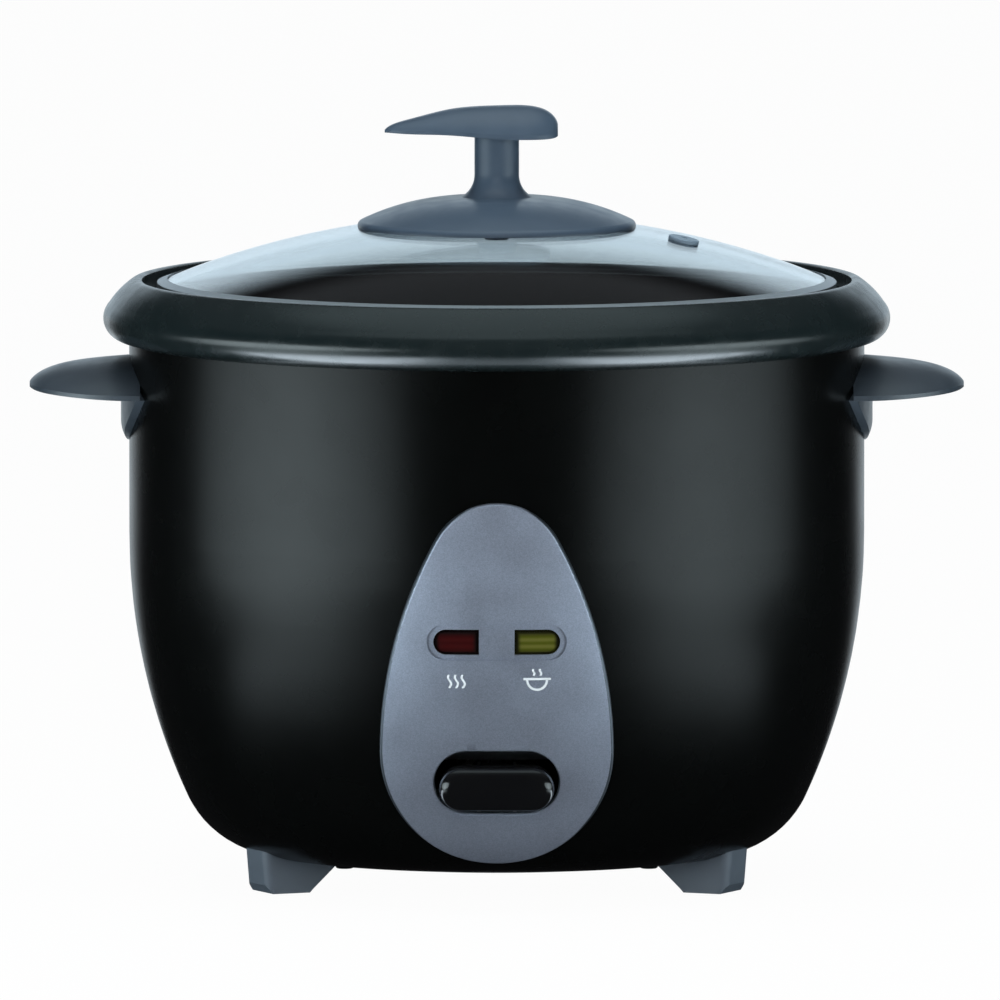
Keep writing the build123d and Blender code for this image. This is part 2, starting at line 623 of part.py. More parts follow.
def top_ring():
    """The moulded rim: a leaning bead outside, a lip round the lid, a ledge that carries the pot."""
    ledge_low = LEDGE_TOP - RING_LEDGE
    ledge_inner = LINER_INNER - RING_LEDGE_INSET
    skirt_inner = LINER_OUTER + RING_SKIRT_GAP
    skirt_outer = skirt_inner + RING_SKIRT_WALL
    skirt_low = ledge_low - RING_SKIRT_DEPTH
    bore = BODY_RADIUS + RING_FIT
    collar_inner = BODY_RADIUS - SHELL_WALL - RING_COLLAR_WALL
    crest_radius = BODY_RADIUS + RING_OVERHANG
    skirt_edge = rz(bore, SHELL_TOP - RING_SKIRT)
    chin = skirt_edge + rz(crest_radius - RING_CHIN[0] - bore, RING_CHIN[1])
    crest = rz(crest_radius, SHELL_TOP + RING_CREST_LIFT)
    cheek = rz(crest_radius - RING_CHEEK[0], SHELL_TOP + RING_CHEEK[1])
    brow = rz(BODY_RADIUS + RING_BROW[0], LIP_TOP - RING_BROW[1])
    lip_outer = rz(BODY_RADIUS - RING_LIP_OUTER[0], LIP_TOP - RING_LIP_OUTER[1])
    lip_middle = rz(BODY_RADIUS - RING_LIP_MIDDLE, LIP_TOP)
    lip_inner = rz(BODY_RADIUS - RING_LIP_INNER[0], LIP_TOP - RING_LIP_INNER[1])
    return turned(
        Line(skirt_edge, chin),
        ThreePointArc(chin, crest, cheek),
        ThreePointArc(cheek, brow, lip_outer),
        ThreePointArc(lip_outer, lip_middle, lip_inner),
        Polyline(
            lip_inner,
            rz(BODY_RADIUS - RING_STEP, LEDGE_TOP),
            rz(ledge_inner, LEDGE_TOP),
            rz(ledge_inner, ledge_low),
            rz(skirt_inner, ledge_low),
            rz(skirt_inner, skirt_low),
            rz(skirt_outer, skirt_low),
            rz(skirt_outer, ledge_low),
            rz(collar_inner, ledge_low),
            rz(collar_inner, SHELL_TOP),
            rz(bore, SHELL_TOP),
            skirt_edge),
    )


def inner_liner():
    """The thin metal can that the pot hangs in."""
    top = LEDGE_TOP - RING_LEDGE
    corner = rz(LINER_OUTER - LINER_CORNER, LINER_UNDERSIDE + LINER_CORNER)
    inner_corner = LINER_CORNER - LINER_WALL
    bend = cos(pi / 4)
    liner = turned(
        Polyline(
            rz(corner.X, LINER_FLOOR),
            rz(LINER_OPENING, LINER_FLOOR),
            rz(LINER_OPENING, LINER_UNDERSIDE),
            rz(corner.X, LINER_UNDERSIDE)),
        ThreePointArc(
            rz(corner.X, LINER_UNDERSIDE),
            corner + rz(LINER_CORNER * bend, -LINER_CORNER * bend),
            rz(LINER_OUTER, corner.Z)),
        Polyline(
            rz(LINER_OUTER, corner.Z),
            rz(LINER_OUTER, top),
            rz(LINER_INNER, top),
            rz(LINER_INNER, corner.Z)),
        ThreePointArc(
            rz(LINER_INNER, corner.Z),
            corner + rz(inner_corner * bend, -inner_corner * bend),
            rz(corner.X, LINER_FLOOR)),
    )
    low, high = LINER_UNDERSIDE - CUT, LINER_FLOOR + CUT
    liner -= ring_at([(ELEMENT_CIRCLE, angle) for angle in ELEMENT_ENDS], ELEMENT_HOLE, low, high)
    liner -= [screw_hole(seat, PLATE_SCREW_REACH, PLATE_SCREW_RADIUS) for seat in LEG_SEATS]
    return liner


def base_plate():
    low = SHELL_BOTTOM - BASE_SHEET
    plate = rod(BASE_RADIUS, low, SHELL_BOTTOM)
    slot = Pos(VENT_SLOT_CIRCLE, 0, low - CUT) * extrude(
        SlotOverall(VENT_SLOT_LENGTH, VENT_SLOT_WIDTH), BASE_SHEET + 2 * CUT)
    plate -= [Rot(0, 0, 360 / VENT_SLOTS * (step + 0.5)) * slot for step in range(VENT_SLOTS)]
    plate -= [screw_hole(seat, BASE_SCREW_REACH) for seat in BASE_SEATS]
    plate -= [screw_hole(seat, BRIDGE_SCREW_REACH) for seat in BRIDGE_SEATS]
    return plate


def foot(angle):
    """A moulded block under the shell's curve, raked at its inner end."""
    inner = FOOT_OUTER - FOOT_LENGTH
    heel = FOOT_OUTER - FOOT_LEAN
    top = SHELL_BOTTOM + FOOT_SHOULDER
    side_view = outline(Polyline(
        rz(inner, SHELL_BOTTOM),
        rz(inner + FOOT_RAKE, FOOT_EDGE),
        rz(inner + FOOT_RAKE + FOOT_EDGE, 0),
        rz(heel - FOOT_TOE[0], 0),
        rz(heel, FOOT_TOE[1]),
        rz(FOOT_OUTER, top),
        rz(inner, top),
        close=True))
    solid = extrude(side_view, amount=FOOT_HALF_WIDTH, dir=(0, 1, 0), both=True)

    def outer_corner(edge):
        middle = edge.center()
        return middle.X > heel and abs(middle.Y) > FOOT_HALF_WIDTH / 2

    solid = fillet(solid.edges().filter_by(outer_corner), 2 * FOOT_EDGE)
    solid -= bowl(0, SHELL_TOP)
    solid -= Pos(FOOT_SCREW_CIRCLE, 0, 0) * rod(SCREW_HEAD_RADIUS + FOOT_COUNTERBORE, -CUT, FOOT_SCREW_HEAD)
    solid -= Pos(FOOT_SCREW_CIRCLE, 0, 0) * rod(SCREW_RADIUS, 0, top)
    return Rot(0, 0, angle) * solid


def shield_form(low):
    """A band round the wall that thins towards its lower edge, which the tabs are cut from."""
    face = BODY_RADIUS + SHIELD_PROUD
    bend, edge = rz(face, low + SHIELD_TAPER), rz(BODY_RADIUS + SHIELD_TIP, low)
    middle = (bend + edge) / 2 + rz(SHIELD_PROUD - SHIELD_TIP, 0) / 4
    return turned(
        Polyline(edge, rz(0, low), rz(0, HANDLE_ROOT_TOP), rz(face, HANDLE_ROOT_TOP), bend),
        ThreePointArc(bend, middle, edge),
    )


def right_handle():
    """A leaf-shaped grip with an arched top, and a pointed tab that spreads its load on the wall."""
    root = BODY_RADIUS - HANDLE_SINK
    length = BODY_RADIUS + HANDLE_REACH - root

    def slice_at(way, width_share, lift_share, high_share):
        low = HANDLE_ROOT_LOW + HANDLE_TIP_LIFT * lift_share
        high = HANDLE_ROOT_LOW + HANDLE_THICKNESS * high_share
        edge = HANDLE_EDGE * min(1.0, width_share * 3)
        return d_section(root + way * length, HANDLE_HALF_WIDTH * width_share, low, edge, high)

    grip = loft([slice_at(*shares) for shares in HANDLE_SLICES])
    corner = Vector(0, HANDLE_HALF_WIDTH, HANDLE_ROOT_LOW)
    shoulder = Vector(0, HANDLE_HALF_WIDTH * SHIELD_TOP_SHARE, HANDLE_ROOT_LOW + 2 * HANDLE_EDGE)
    waist = Vector(0, HANDLE_HALF_WIDTH * SHIELD_WAIST[0], HANDLE_ROOT_LOW - SHIELD_DROP * SHIELD_WAIST[1])
    point = Vector(0, 0, HANDLE_ROOT_LOW - SHIELD_DROP)

    def across(place):
        return Vector(0, -place.Y, place.Z)

    tab = outline(
        Polyline(across(corner), across(shoulder), shoulder, corner),
        ThreePointArc(corner, waist, point),
        ThreePointArc(point, across(waist), across(corner)),
    )
    tab = extrude(tab, amount=BODY_RADIUS + HANDLE_REACH, dir=(1, 0, 0))
    tab &= shield_form(point.Z)
    solid = grip + tab
    solid -= rod(BODY_RADIUS, 0, SHELL_TOP)
    solid -= [screw_hole(seat, HANDLE_SCREW_REACH) for seat in HANDLE_SEATS]
    return solid


def left_handle():
    return mirror(right_handle(), about=Plane.YZ)


def control_panel():
    """An egg-shaped cover that follows the bowl, with the lens window, the lever opening and its pegs."""
    panel = front_prism(egg_face()) & wall_layer(0, PANEL_PROUD)

    def on_face(edge):
        middle = edge @ 0.5
        tilt = bowl_tilt(middle.Z)
        reach = sqrt(middle.X**2 + middle.Y**2) - bowl_radius(middle.Z + PANEL_PROUD * sin(tilt))
        return reach > PANEL_PROUD * cos(tilt) - PANEL_EDGE_REACH

    def round_opening(edge):
        middle = edge @ 0.5
        aside = abs(middle.X) - LEVER_OPENING_HALF_WIDTH
        above = abs(middle.Z - LEVER_OPENING_HEIGHT) - LEVER_OPENING_HALF_HEIGHT
        return max(aside, above) < PANEL_EDGE_REACH

    rim = [edge for edge in panel.edges() if on_face(edge)]
    panel = fillet(rim, PANEL_EDGE) - lever_opening()
    opening_rim = [edge for edge in panel.edges() if on_face(edge) and round_opening(edge)]
    panel = fillet(opening_rim, LEVER_OPENING_EDGE)
    recess = front_prism(stadium_face(RECESS_END, RECESS_HALF_HEIGHT, LENS_HEIGHT))
    panel -= recess & wall_layer(PANEL_PROUD - RECESS_DEPTH, PANEL_PROUD + CUT)
    panel -= [front_prism(lens_face(side)) for side in (-1, 1)]
    peg = Pos(0, 0, -SHELL_WALL - PEG_LENGTH) * Cylinder(
        PEG_RADIUS, SHELL_WALL + PEG_LENGTH + PANEL_PROUD / 2, align=UPRIGHT)
    panel += [plane * peg for plane in PEG_PLANES]
    return panel


def panel_nuts():
    """Push-on washers that hold the panel's pegs inside the shell."""
    hollow = NUT_RADIUS**2 / (2 * (CORNER_RADIUS - SHELL_WALL))
    stand = SHELL_WALL + NUT_THICKNESS + hollow + NUT_EASE
    nut = Cylinder(NUT_RADIUS, NUT_THICKNESS, align=UPRIGHT) - Cylinder(PEG_RADIUS, 3 * NUT_THICKNESS)
    return Part() + [plane * Pos(0, 0, -stand) * nut for plane in PEG_PLANES]


def lens(side):
    """A tinted lens: its foot fills the shell's window, its front stands clear of the panel's."""
    foot = front_prism(lens_face(side)) & wall_layer(-SHELL_WALL, 0)
    front = wall_layer(-SHELL_WALL, PANEL_PROUD - RECESS_DEPTH - LENS_SINK)
    return foot + (front_prism(lens_face(side, LENS_MARGIN)) & front)


LAMP_INSET = SHELL_WALL + LAMP_GAP + LAMP_RADIUS


def lamp(side):
    """A lamp capsule behind its lens, along the wall."""
    middle = side * sum(LENS_SPAN) / 2
    azimuth = radians(front_azimuth(middle, LENS_HEIGHT))
    spoke = Vector(cos(azimuth), sin(azimuth), 0)
    along = Vector(-sin(azimuth), cos(azimuth), 0) * LAMP_HALF_LENGTH
    centre = spoke * (bowl_radius(LENS_HEIGHT) - LAMP_INSET) + Vector(0, 0, LENS_HEIGHT)
    return pin(LAMP_RADIUS, tuple(centre - along), tuple(centre + along))


def lamp_holder():
    """A tray behind the lenses, open to the front, that cups the two lamps."""
    half_height = LENS_HALF_HEIGHT + LAMP_HOLDER_MARGIN
    half_width = LENS_SPAN[1] + LAMP_HOLDER_MARGIN
    low, high = LENS_HEIGHT - half_height, LENS_HEIGHT + half_height
    depth = bowl_radius(low) - SHELL_WALL - LINER_OUTER - LAMP_HOLDER_CLEARANCE
    body = block((-half_width, half_width), (-BODY_RADIUS, 0), (low, high))
    body &= wall_layer(-SHELL_WALL - depth, -SHELL_WALL)
    for side in (-1, 1):
        body -= front_prism(lens_face(side)) & wall_layer(-LAMP_INSET, 0)
        body -= lamp(side)
    return body


def lever_paddle():
    """The gloss key outside the panel."""
    face = stadium_face(PADDLE_HALF_WIDTH, PADDLE_HALF_HEIGHT, PADDLE_HEIGHT)
    key = Pos(0, -PADDLE_BACK, 0) * extrude(face, amount=PADDLE_DEPTH, dir=(0, -1, 0))
    key = fillet(key.faces().sort_by(Axis.Y)[0].edges(), PADDLE_EDGE)
    return key - arm_strip()


def arm_strip():
    return block(
        (-ARM_HALF_WIDTH, ARM_HALF_WIDTH), (-PADDLE_BACK - ARM_SOCKET, ARM_TAIL), (ARM_UNDERSIDE, ARM_TOP))


def lever_arm():
    """The steel rocker: pressed at the front, forked round the magnet's rod at the back."""
    hub_end = ARM_HALF_WIDTH
    arm = arm_strip() + pin(
        HUB_RADIUS, (-hub_end, -PIVOT_REACH, PIVOT_HEIGHT), (hub_end, -PIVOT_REACH, PIVOT_HEIGHT))
    arm -= pin(
        PIVOT_RADIUS + RUNNING_FIT,
        (-hub_end - CUT, -PIVOT_REACH, PIVOT_HEIGHT), (hub_end + CUT, -PIVOT_REACH, PIVOT_HEIGHT))
    fork = block(
        (-FORK_HALF_WIDTH, FORK_HALF_WIDTH),
        (-ARM_TAIL, ARM_TAIL + CUT),
        (ARM_UNDERSIDE - CUT, ARM_TOP + CUT))
    return arm - fork


def lever_pivot_pin():
    reach = ARM_HALF_WIDTH + BRACKET_GAP + BRACKET_SHEET + PIN_END
    return pin(PIVOT_RADIUS, (-reach, -PIVOT_REACH, PIVOT_HEIGHT), (reach, -PIVOT_REACH, PIVOT_HEIGHT))


SWITCH_TOP = ARM_UNDERSIDE - SWITCH_GAP
SWITCH_LOW = SWITCH_TOP - SWITCH_HEIGHT
SWITCH_FRONT = -SWITCH_CENTRE - SWITCH_LENGTH / 2
SWITCH_REAR = -SWITCH_CENTRE + SWITCH_LENGTH / 2
FRONT_TERMINAL = SWITCH_FRONT + TERMINAL_INSET
REAR_TERMINAL = SWITCH_REAR - TERMINAL_INSET
SWITCH_SCREW_POINTS = [
    (y, SWITCH_LOW + SWITCH_SCREW_PLACE[1])
    for y in (SWITCH_FRONT + SWITCH_SCREW_PLACE[0], SWITCH_REAR - SWITCH_SCREW_PLACE[0])
]
EAR_INNER = ARM_HALF_WIDTH + BRACKET_GAP
EAR_OUTER = EAR_INNER + BRACKET_SHEET


def switch_screw_pins():
    reach = EAR_OUTER + SWITCH_SCREW_END
    return [pin(SWITCH_SCREW_RADIUS, (-reach, y, z), (reach, y, z)) for y, z in SWITCH_SCREW_POINTS]


def lever_bracket():
    """A folded channel on the shell's floor: two ears hold the pivot and, lower down, the switch."""
    heel = -BASE_OPENING - BRACKET_HEEL
    toe = heel - BRACKET_TOE
    ear_low, ear_high, ear_rise = BRACKET_EAR
    behind, short = SWITCH_SLOPE
    ear = outline(Polyline(
        Vector(0, heel, SHELL_FLOOR),
        Vector(0, -PIVOT_REACH + ear_low, PIVOT_HEIGHT),
        Vector(0, -PIVOT_REACH + ear_high, PIVOT_HEIGHT + ear_rise),
        Vector(0, -PIVOT_REACH - ear_high, PIVOT_HEIGHT + ear_rise),
        Vector(0, SWITCH_REAR - behind, SWITCH_TOP),
        Vector(0, SWITCH_FRONT + short, SWITCH_TOP),
        Vector(0, SWITCH_FRONT + short, SWITCH_LOW),
        Vector(0, toe, SHELL_FLOOR),
        close=True))
    ears = Part()
    for side in (-1, 1):
        ears += Pos(side * EAR_INNER, 0, 0) * extrude(ear, amount=BRACKET_SHEET, dir=(side, 0, 0))
    bracket = ears + block((-EAR_OUTER, EAR_OUTER), (toe, heel), (SHELL_FLOOR, SHELL_FLOOR + BRACKET_SHEET))
    bracket -= lever_pivot_pin()
    bracket -= switch_screw_pins()
    return bracket


def micro_switch():
    sides = (-SWITCH_HALF_WIDTH, SWITCH_HALF_WIDTH)
    body = block(sides, (SWITCH_FRONT, SWITCH_REAR), (SWITCH_LOW, SWITCH_TOP))
    body = fillet(body.edges().filter_by(Axis.X), SWITCH_EDGE)
    for y in (FRONT_TERMINAL, -SWITCH_CENTRE, REAR_TERMINAL):
        body += block(
            (-TERMINAL_HALF_WIDTH, TERMINAL_HALF_WIDTH),
            (y - TERMINAL_HALF_THICKNESS, y + TERMINAL_HALF_THICKNESS),
            (SWITCH_LOW - TERMINAL_LENGTH, SWITCH_LOW + TERMINAL_ROOT))
    body -= switch_screw_pins()
    well = PLUNGER_RADIUS + RUNNING_FIT
    body -= Pos(0, -SWITCH_CENTRE, 0) * rod(
        well, SWITCH_TOP - PLUNGER_DEPTH - PLUNGER_WELL, SWITCH_TOP + CUT)
    return body


def switch_plunger():
    solid = rod(PLUNGER_RADIUS, SWITCH_TOP - PLUNGER_DEPTH, ARM_UNDERSIDE - RUNNING_FIT)
    solid = fillet(solid.edges().group_by(Axis.Z)[-1], PLUNGER_RADIUS * 0.5)
    return Pos(0, -SWITCH_CENTRE, 0) * solid


def switch_screws():
    return Part() + switch_screw_pins()


def support_bridge():
    """A folded strip on the base plate: it carries the liner floor and the sensor's guide."""
    low = SHELL_BOTTOM
    ends = (-BRIDGE_HALF_LENGTH, BRIDGE_HALF_LENGTH)
    sides = (-BRIDGE_HALF_WIDTH, BRIDGE_HALF_WIDTH)
    bridge = block(ends, sides, (BRIDGE_TOP - BRIDGE_SHEET, BRIDGE_TOP))
    for side in (-1, 1):
        leg = sorted((side * BRIDGE_HALF_LENGTH, side * (BRIDGE_HALF_LENGTH - BRIDGE_SHEET)))
        toe = sorted((side * BRIDGE_HALF_LENGTH, side * (BRIDGE_HALF_LENGTH - BRIDGE_TOE)))
        bridge += block(leg, sides, (low, BRIDGE_TOP))
        bridge += block(toe, sides, (low, low + BRIDGE_SHEET))
    bridge -= rod(GUIDE_RADIUS - GUIDE_WALL, BRIDGE_TOP - BRIDGE_SHEET - CUT, BRIDGE_TOP + CUT)
    bridge -= [screw_hole(seat, BRIDGE_SCREW_REACH) for seat in BRIDGE_SEATS]
    return bridge


GUIDE_FLOOR = BRIDGE_TOP + BRIDGE_SHEET


def sensor_guide():
    high = BRIDGE_TOP + GUIDE_HEIGHT
    tube = rod(GUIDE_RADIUS, BRIDGE_TOP, high) + rod(GUIDE_FLANGE, BRIDGE_TOP, GUIDE_FLOOR)
    return tube - rod(GUIDE_RADIUS - GUIDE_WALL, BRIDGE_TOP - CUT, high + CUT)


def sensor_cap():
    """A spring-loaded cap that touches the pot, with a lip that stops it under the plate."""
    low = SENSOR_TOP - SENSOR_SKIRT
    cap = rod(SENSOR_RADIUS, low, SENSOR_TOP)
    cap = fillet(cap.edges().group_by(Axis.Z)[-1], SENSOR_WALL)
    cap += rod(SENSOR_RADIUS + SENSOR_LIP, low, low + SENSOR_WALL)
    return cap - rod(SENSOR_RADIUS - SENSOR_WALL, low - CUT, SENSOR_CEILING)


def ferrite_core():
    return rod(FERRITE_RADIUS, FERRITE_UNDERSIDE, SENSOR_CEILING) - rod(
        CORE_HOLE, FERRITE_UNDERSIDE - CUT, SENSOR_CEILING + CUT)


def magnet_ring():
    return rod(MAGNET_RADIUS, HOLDER_TOP, MAGNET_TOP) - rod(CORE_HOLE, HOLDER_TOP - CUT, MAGNET_TOP + CUT)


def magnet_holder():
    disc = rod(MAGNET_RADIUS, HOLDER_TOP - HOLDER_DISC, HOLDER_TOP)
    return disc + rod(ROD_RADIUS, ROD_END, HOLDER_TOP + MAGNET_HEIGHT / 2)


def rod_collar():
    low = ARM_TOP + LOST_MOTION
    high = low + COLLAR_HEIGHT
    return rod(COLLAR_RADIUS, low, high) - rod(ROD_RADIUS, low - CUT, high + CUT)


def coil_spring(radius, wire, low, high, turns):
    """A round-wire spring between two seats, as quarter turns of two tangent arcs each."""
    start, rise = low + wire / 2 + SPRING_EASE, high - low - wire - 2 * SPRING_EASE
    quarters = 4 * turns
    slope = rise / (2 * pi * radius * turns)

    def place(step):
        angle = 2 * pi * step / 4
        return Vector(radius * cos(angle), radius * sin(angle), start + rise * step / quarters)

    def heading(step):
        angle = 2 * pi * step / 4
        return Vector(-sin(angle), cos(angle), slope).normalized()

    arcs = []
    for step in range(quarters):
        first, last, leave, arrive = place(step), place(step + 1), heading(step), heading(step + 1)
        chord, both = last - first, leave + arrive
        spread = 2 * (1 - leave.dot(arrive))
        reach = (sqrt(chord.dot(both) ** 2 + spread * chord.dot(chord)) - chord.dot(both)) / spread
        middle = (first + last + (leave - arrive) * reach) / 2
        arcs.append(TangentArc(first, middle, tangent=leave))
        arcs.append(TangentArc(middle, last, tangent=arcs[-1] % 1))
    path = Wire([edge for arc in arcs for edge in arc.edges()])
    section = Plane(origin=place(0), z_dir=heading(0)) * Circle(wire / 2)
    return sweep(section, path=path)


def sensor_spring():
    return coil_spring(
        SENSOR_SPRING_RADIUS, SENSOR_SPRING_WIRE, GUIDE_FLOOR, SENSOR_CEILING, SENSOR_SPRING_TURNS)


def magnet_spring():
    return coil_spring(
        MAGNET_SPRING_RADIUS, MAGNET_SPRING_WIRE, HOLDER_TOP, SENSOR_CEILING, MAGNET_SPRING_TURNS)


def heating_element():
    """A tubular element cast into the plate's underside, with two cold ends that turn down."""
    height = PLATE_UNDERSIDE + ELEMENT_DEPTH
    start = -ELEMENT_SWEEP / 2
    section = Pos(ELEMENT_CIRCLE, 0, height) * Rot(90, 0, 0) * Circle(ELEMENT_RADIUS)
    tube = Rot(0, 0, start) * revolve(section, Axis.Z, ELEMENT_SWEEP)
    for angle in ELEMENT_ENDS:
        place = Rot(0, 0, angle) * Pos(ELEMENT_CIRCLE, 0, 0)
        tube += place * Pos(0, 0, height) * Sphere(ELEMENT_RADIUS)
        tube += place * rod(ELEMENT_PIN_RADIUS, ELEMENT_PIN_END, height)
    return tube


def heating_plate():
    plate = rod(PLATE_RADIUS, PLATE_UNDERSIDE, PLATE_TOP)
    plate = fillet(plate.edges().group_by(Axis.Z)[-1], PLATE_EDGE)
    legs = [(LEG_CIRCLE, angle) for angle in LEG_ANGLES]
    plate += ring_at(legs, LEG_RADIUS, LINER_FLOOR, PLATE_UNDERSIDE + CUT)
    plate -= rod(SENSOR_RADIUS + SENSOR_CLEARANCE, PLATE_UNDERSIDE - CUT, PLATE_TOP + CUT)
    plate -= heating_element()
    plate -= [screw_hole(seat, PLATE_SCREW_REACH, PLATE_SCREW_RADIUS) for seat in LEG_SEATS]
    return plate


FUSE_HEIGHT = PLATE_UNDERSIDE - FUSE_RADIUS


def thermal_fuse():
    reach = FUSE_LENGTH / 2
    return pin(FUSE_RADIUS, (-reach, FUSE_CIRCLE, FUSE_HEIGHT), (reach, FUSE_CIRCLE, FUSE_HEIGHT))


def fuse_clip():
    """A strap that holds the fuse against the plate."""
    width = (-CLIP_HALF_WIDTH, CLIP_HALF_WIDTH)
    low = FUSE_HEIGHT - FUSE_RADIUS
    inner = FUSE_RADIUS + CLIP_FIT
    strap = block(
        width,
        (FUSE_CIRCLE - inner - CLIP_SHEET, FUSE_CIRCLE + inner + CLIP_SHEET),
        (low - CLIP_SHEET, PLATE_UNDERSIDE))
    strap += block(
        width,
        (FUSE_CIRCLE - inner - CLIP_EAR, FUSE_CIRCLE + inner + CLIP_EAR),
        (PLATE_UNDERSIDE - CLIP_SHEET, PLATE_UNDERSIDE))
    return strap - block(
        (-CLIP_HALF_WIDTH - CUT, CLIP_HALF_WIDTH + CUT),
        (FUSE_CIRCLE - inner, FUSE_CIRCLE + inner),
        (low, PLATE_UNDERSIDE + CUT))


def inlet_blade_blocks():
    tail = INLET_FACE - INLET_DEPTH - INLET_BACK - BLADE_TAIL
    tip = INLET_FACE - BLADE_RECESS
    return [
        block(
            (x - BLADE_WIDTH / 2, x + BLADE_WIDTH / 2), (tail, tip),
            (INLET_HEIGHT + z - BLADE_HEIGHT / 2, INLET_HEIGHT + z + BLADE_HEIGHT / 2))
        for x, z in BLADE_PLACES
    ]


def power_inlet():
    """A collar on the back of the bowl, with a deep socket for a plug-in lead."""
    flange = block(
        (-INLET_FLANGE_HALF_WIDTH, INLET_FLANGE_HALF_WIDTH),
        (INLET_FACE / 2, INLET_FACE),
        (INLET_HEIGHT - INLET_FLANGE_HALF_HEIGHT, INLET_HEIGHT + INLET_FLANGE_HALF_HEIGHT))
    flange = fillet(flange.edges().filter_by(Axis.Y), INLET_CORNER)
    body = (flange - bowl(0, SHELL_TOP)) + inlet_body_block()
    half_width = INLET_HALF_WIDTH - INLET_WALL
    half_height = INLET_HALF_HEIGHT - INLET_WALL
    mouth = outline(Polyline(
        rz(-half_width, INLET_HEIGHT - half_height),
        rz(half_width, INLET_HEIGHT - half_height),
        rz(half_width, INLET_HEIGHT + half_height - INLET_CHAMFER),
        rz(half_width - INLET_CHAMFER, INLET_HEIGHT + half_height),
        rz(-half_width + INLET_CHAMFER, INLET_HEIGHT + half_height),
        rz(-half_width, INLET_HEIGHT + half_height - INLET_CHAMFER),
        close=True))
    body -= Pos(0, INLET_FACE - INLET_DEPTH, 0) * extrude(mouth, amount=INLET_DEPTH + CUT, dir=(0, 1, 0))
    body -= inlet_blade_blocks()
    body -= [screw_hole(seat, INLET_SCREW_REACH) for seat in INLET_SEATS]
    return body


def inner_pot():
    """The lift-out cooking pot with a rolled-flat rim."""
    inner = POT_RADIUS - POT_WALL
    rim = POT_RADIUS + POT_RIM_WIDTH
    corner = rz(POT_RADIUS - POT_CORNER, POT_BOTTOM + POT_CORNER)
    inner_corner = POT_CORNER - POT_WALL
    bend = cos(pi / 4)
    return turned(
        Polyline(rz(0, POT_BOTTOM + POT_WALL), rz(0, POT_BOTTOM), rz(corner.X, POT_BOTTOM)),
        ThreePointArc(
            rz(corner.X, POT_BOTTOM),
            corner + rz(POT_CORNER * bend, -POT_CORNER * bend),
            rz(POT_RADIUS, corner.Z)),
        Polyline(
            rz(POT_RADIUS, corner.Z),
            rz(POT_RADIUS, POT_RIM),
            rz(rim, POT_RIM),
            rz(rim, POT_TOP),
            rz(inner, POT_TOP),
            rz(inner, corner.Z)),
        ThreePointArc(
            rz(inner, corner.Z),
            corner + rz(inner_corner * bend, -inner_corner * bend),
            rz(corner.X, POT_BOTTOM + POT_WALL)),
        Line(rz(corner.X, POT_BOTTOM + POT_WALL), rz(0, POT_BOTTOM + POT_WALL)),
    )


def glass_height(radius, sphere=GLASS_RADIUS):
    return GLASS_CENTRE + sqrt(sphere**2 - radius**2)


def dome_cap(sphere, low, radius):
    """The top of a ball about the glass's centre, kept inside a radius and above a height."""
    edge = rz(radius, glass_height(radius, sphere))
    middle = rz(radius / 2, glass_height(radius / 2, sphere))
    top = rz(0, GLASS_CENTRE + sphere)
    return turned(Polyline(top, rz(0, low), rz(radius, low), edge), ThreePointArc(edge, middle, top))


VENT_DISTANCE = sqrt(VENT_X**2 + VENT_Y**2)
VENT_NORMAL = Vector(VENT_X, VENT_Y, glass_height(VENT_DISTANCE) - GLASS_CENTRE)
VENT_PLANE = Plane(origin=(VENT_X, VENT_Y, glass_height(VENT_DISTANCE)), z_dir=VENT_NORMAL)


def glass_layer(fit=0.0):
    """The dome's bare wall, grown all round by a fit."""
    low = BAND_UNDERSIDE - 4 * GLASS_THICKNESS
    outside = dome_cap(GLASS_RADIUS + fit, low, LID_RADIUS + fit)
    return outside - dome_cap(GLASS_INNER_RADIUS - fit, low - CUT, LID_RADIUS + CUT)


def lid_glass():
    glass = glass_layer()
    glass -= rod(KNOB_SCREW_RADIUS + SCREW_EASE, GLASS_TOP - 2 * GLASS_THICKNESS, GLASS_TOP + CUT)
    return glass - VENT_PLANE * Cylinder(VENT_NECK, 4 * GLASS_THICKNESS)


def lid_band():
    """The folded metal edge of the glass."""
    inner = LID_RADIUS - BAND_WIDTH
    outer = LID_RADIUS + BAND_SHEET
    band = turned(Polyline(
        rz(inner, glass_height(inner, GLASS_INNER_RADIUS) - BAND_SHEET),
        rz(LID_RADIUS, BAND_UNDERSIDE),
        rz(outer, BAND_UNDERSIDE),
        rz(outer, glass_height(LID_RADIUS) + BAND_SHEET),
        rz(inner, glass_height(inner) + BAND_SHEET),
        close=True))
    return band - glass_layer(BAND_FIT)


def vent_grommet():
    """A soft plug with a waist that the glass sits in, and a hole for the steam."""
    plug = Cylinder(VENT_RADIUS, GLASS_THICKNESS + VENT_UNDER + VENT_RISE, align=UPRIGHT)
    plug = fillet(plug.faces().sort_by(Axis.Z)[-1].edges(), VENT_EDGE)
    plug = VENT_PLANE * Pos(0, 0, -GLASS_THICKNESS - VENT_UNDER) * plug - lid_glass()
    return plug - VENT_PLANE * Cylinder(VENT_HOLE, 8 * GLASS_THICKNESS)


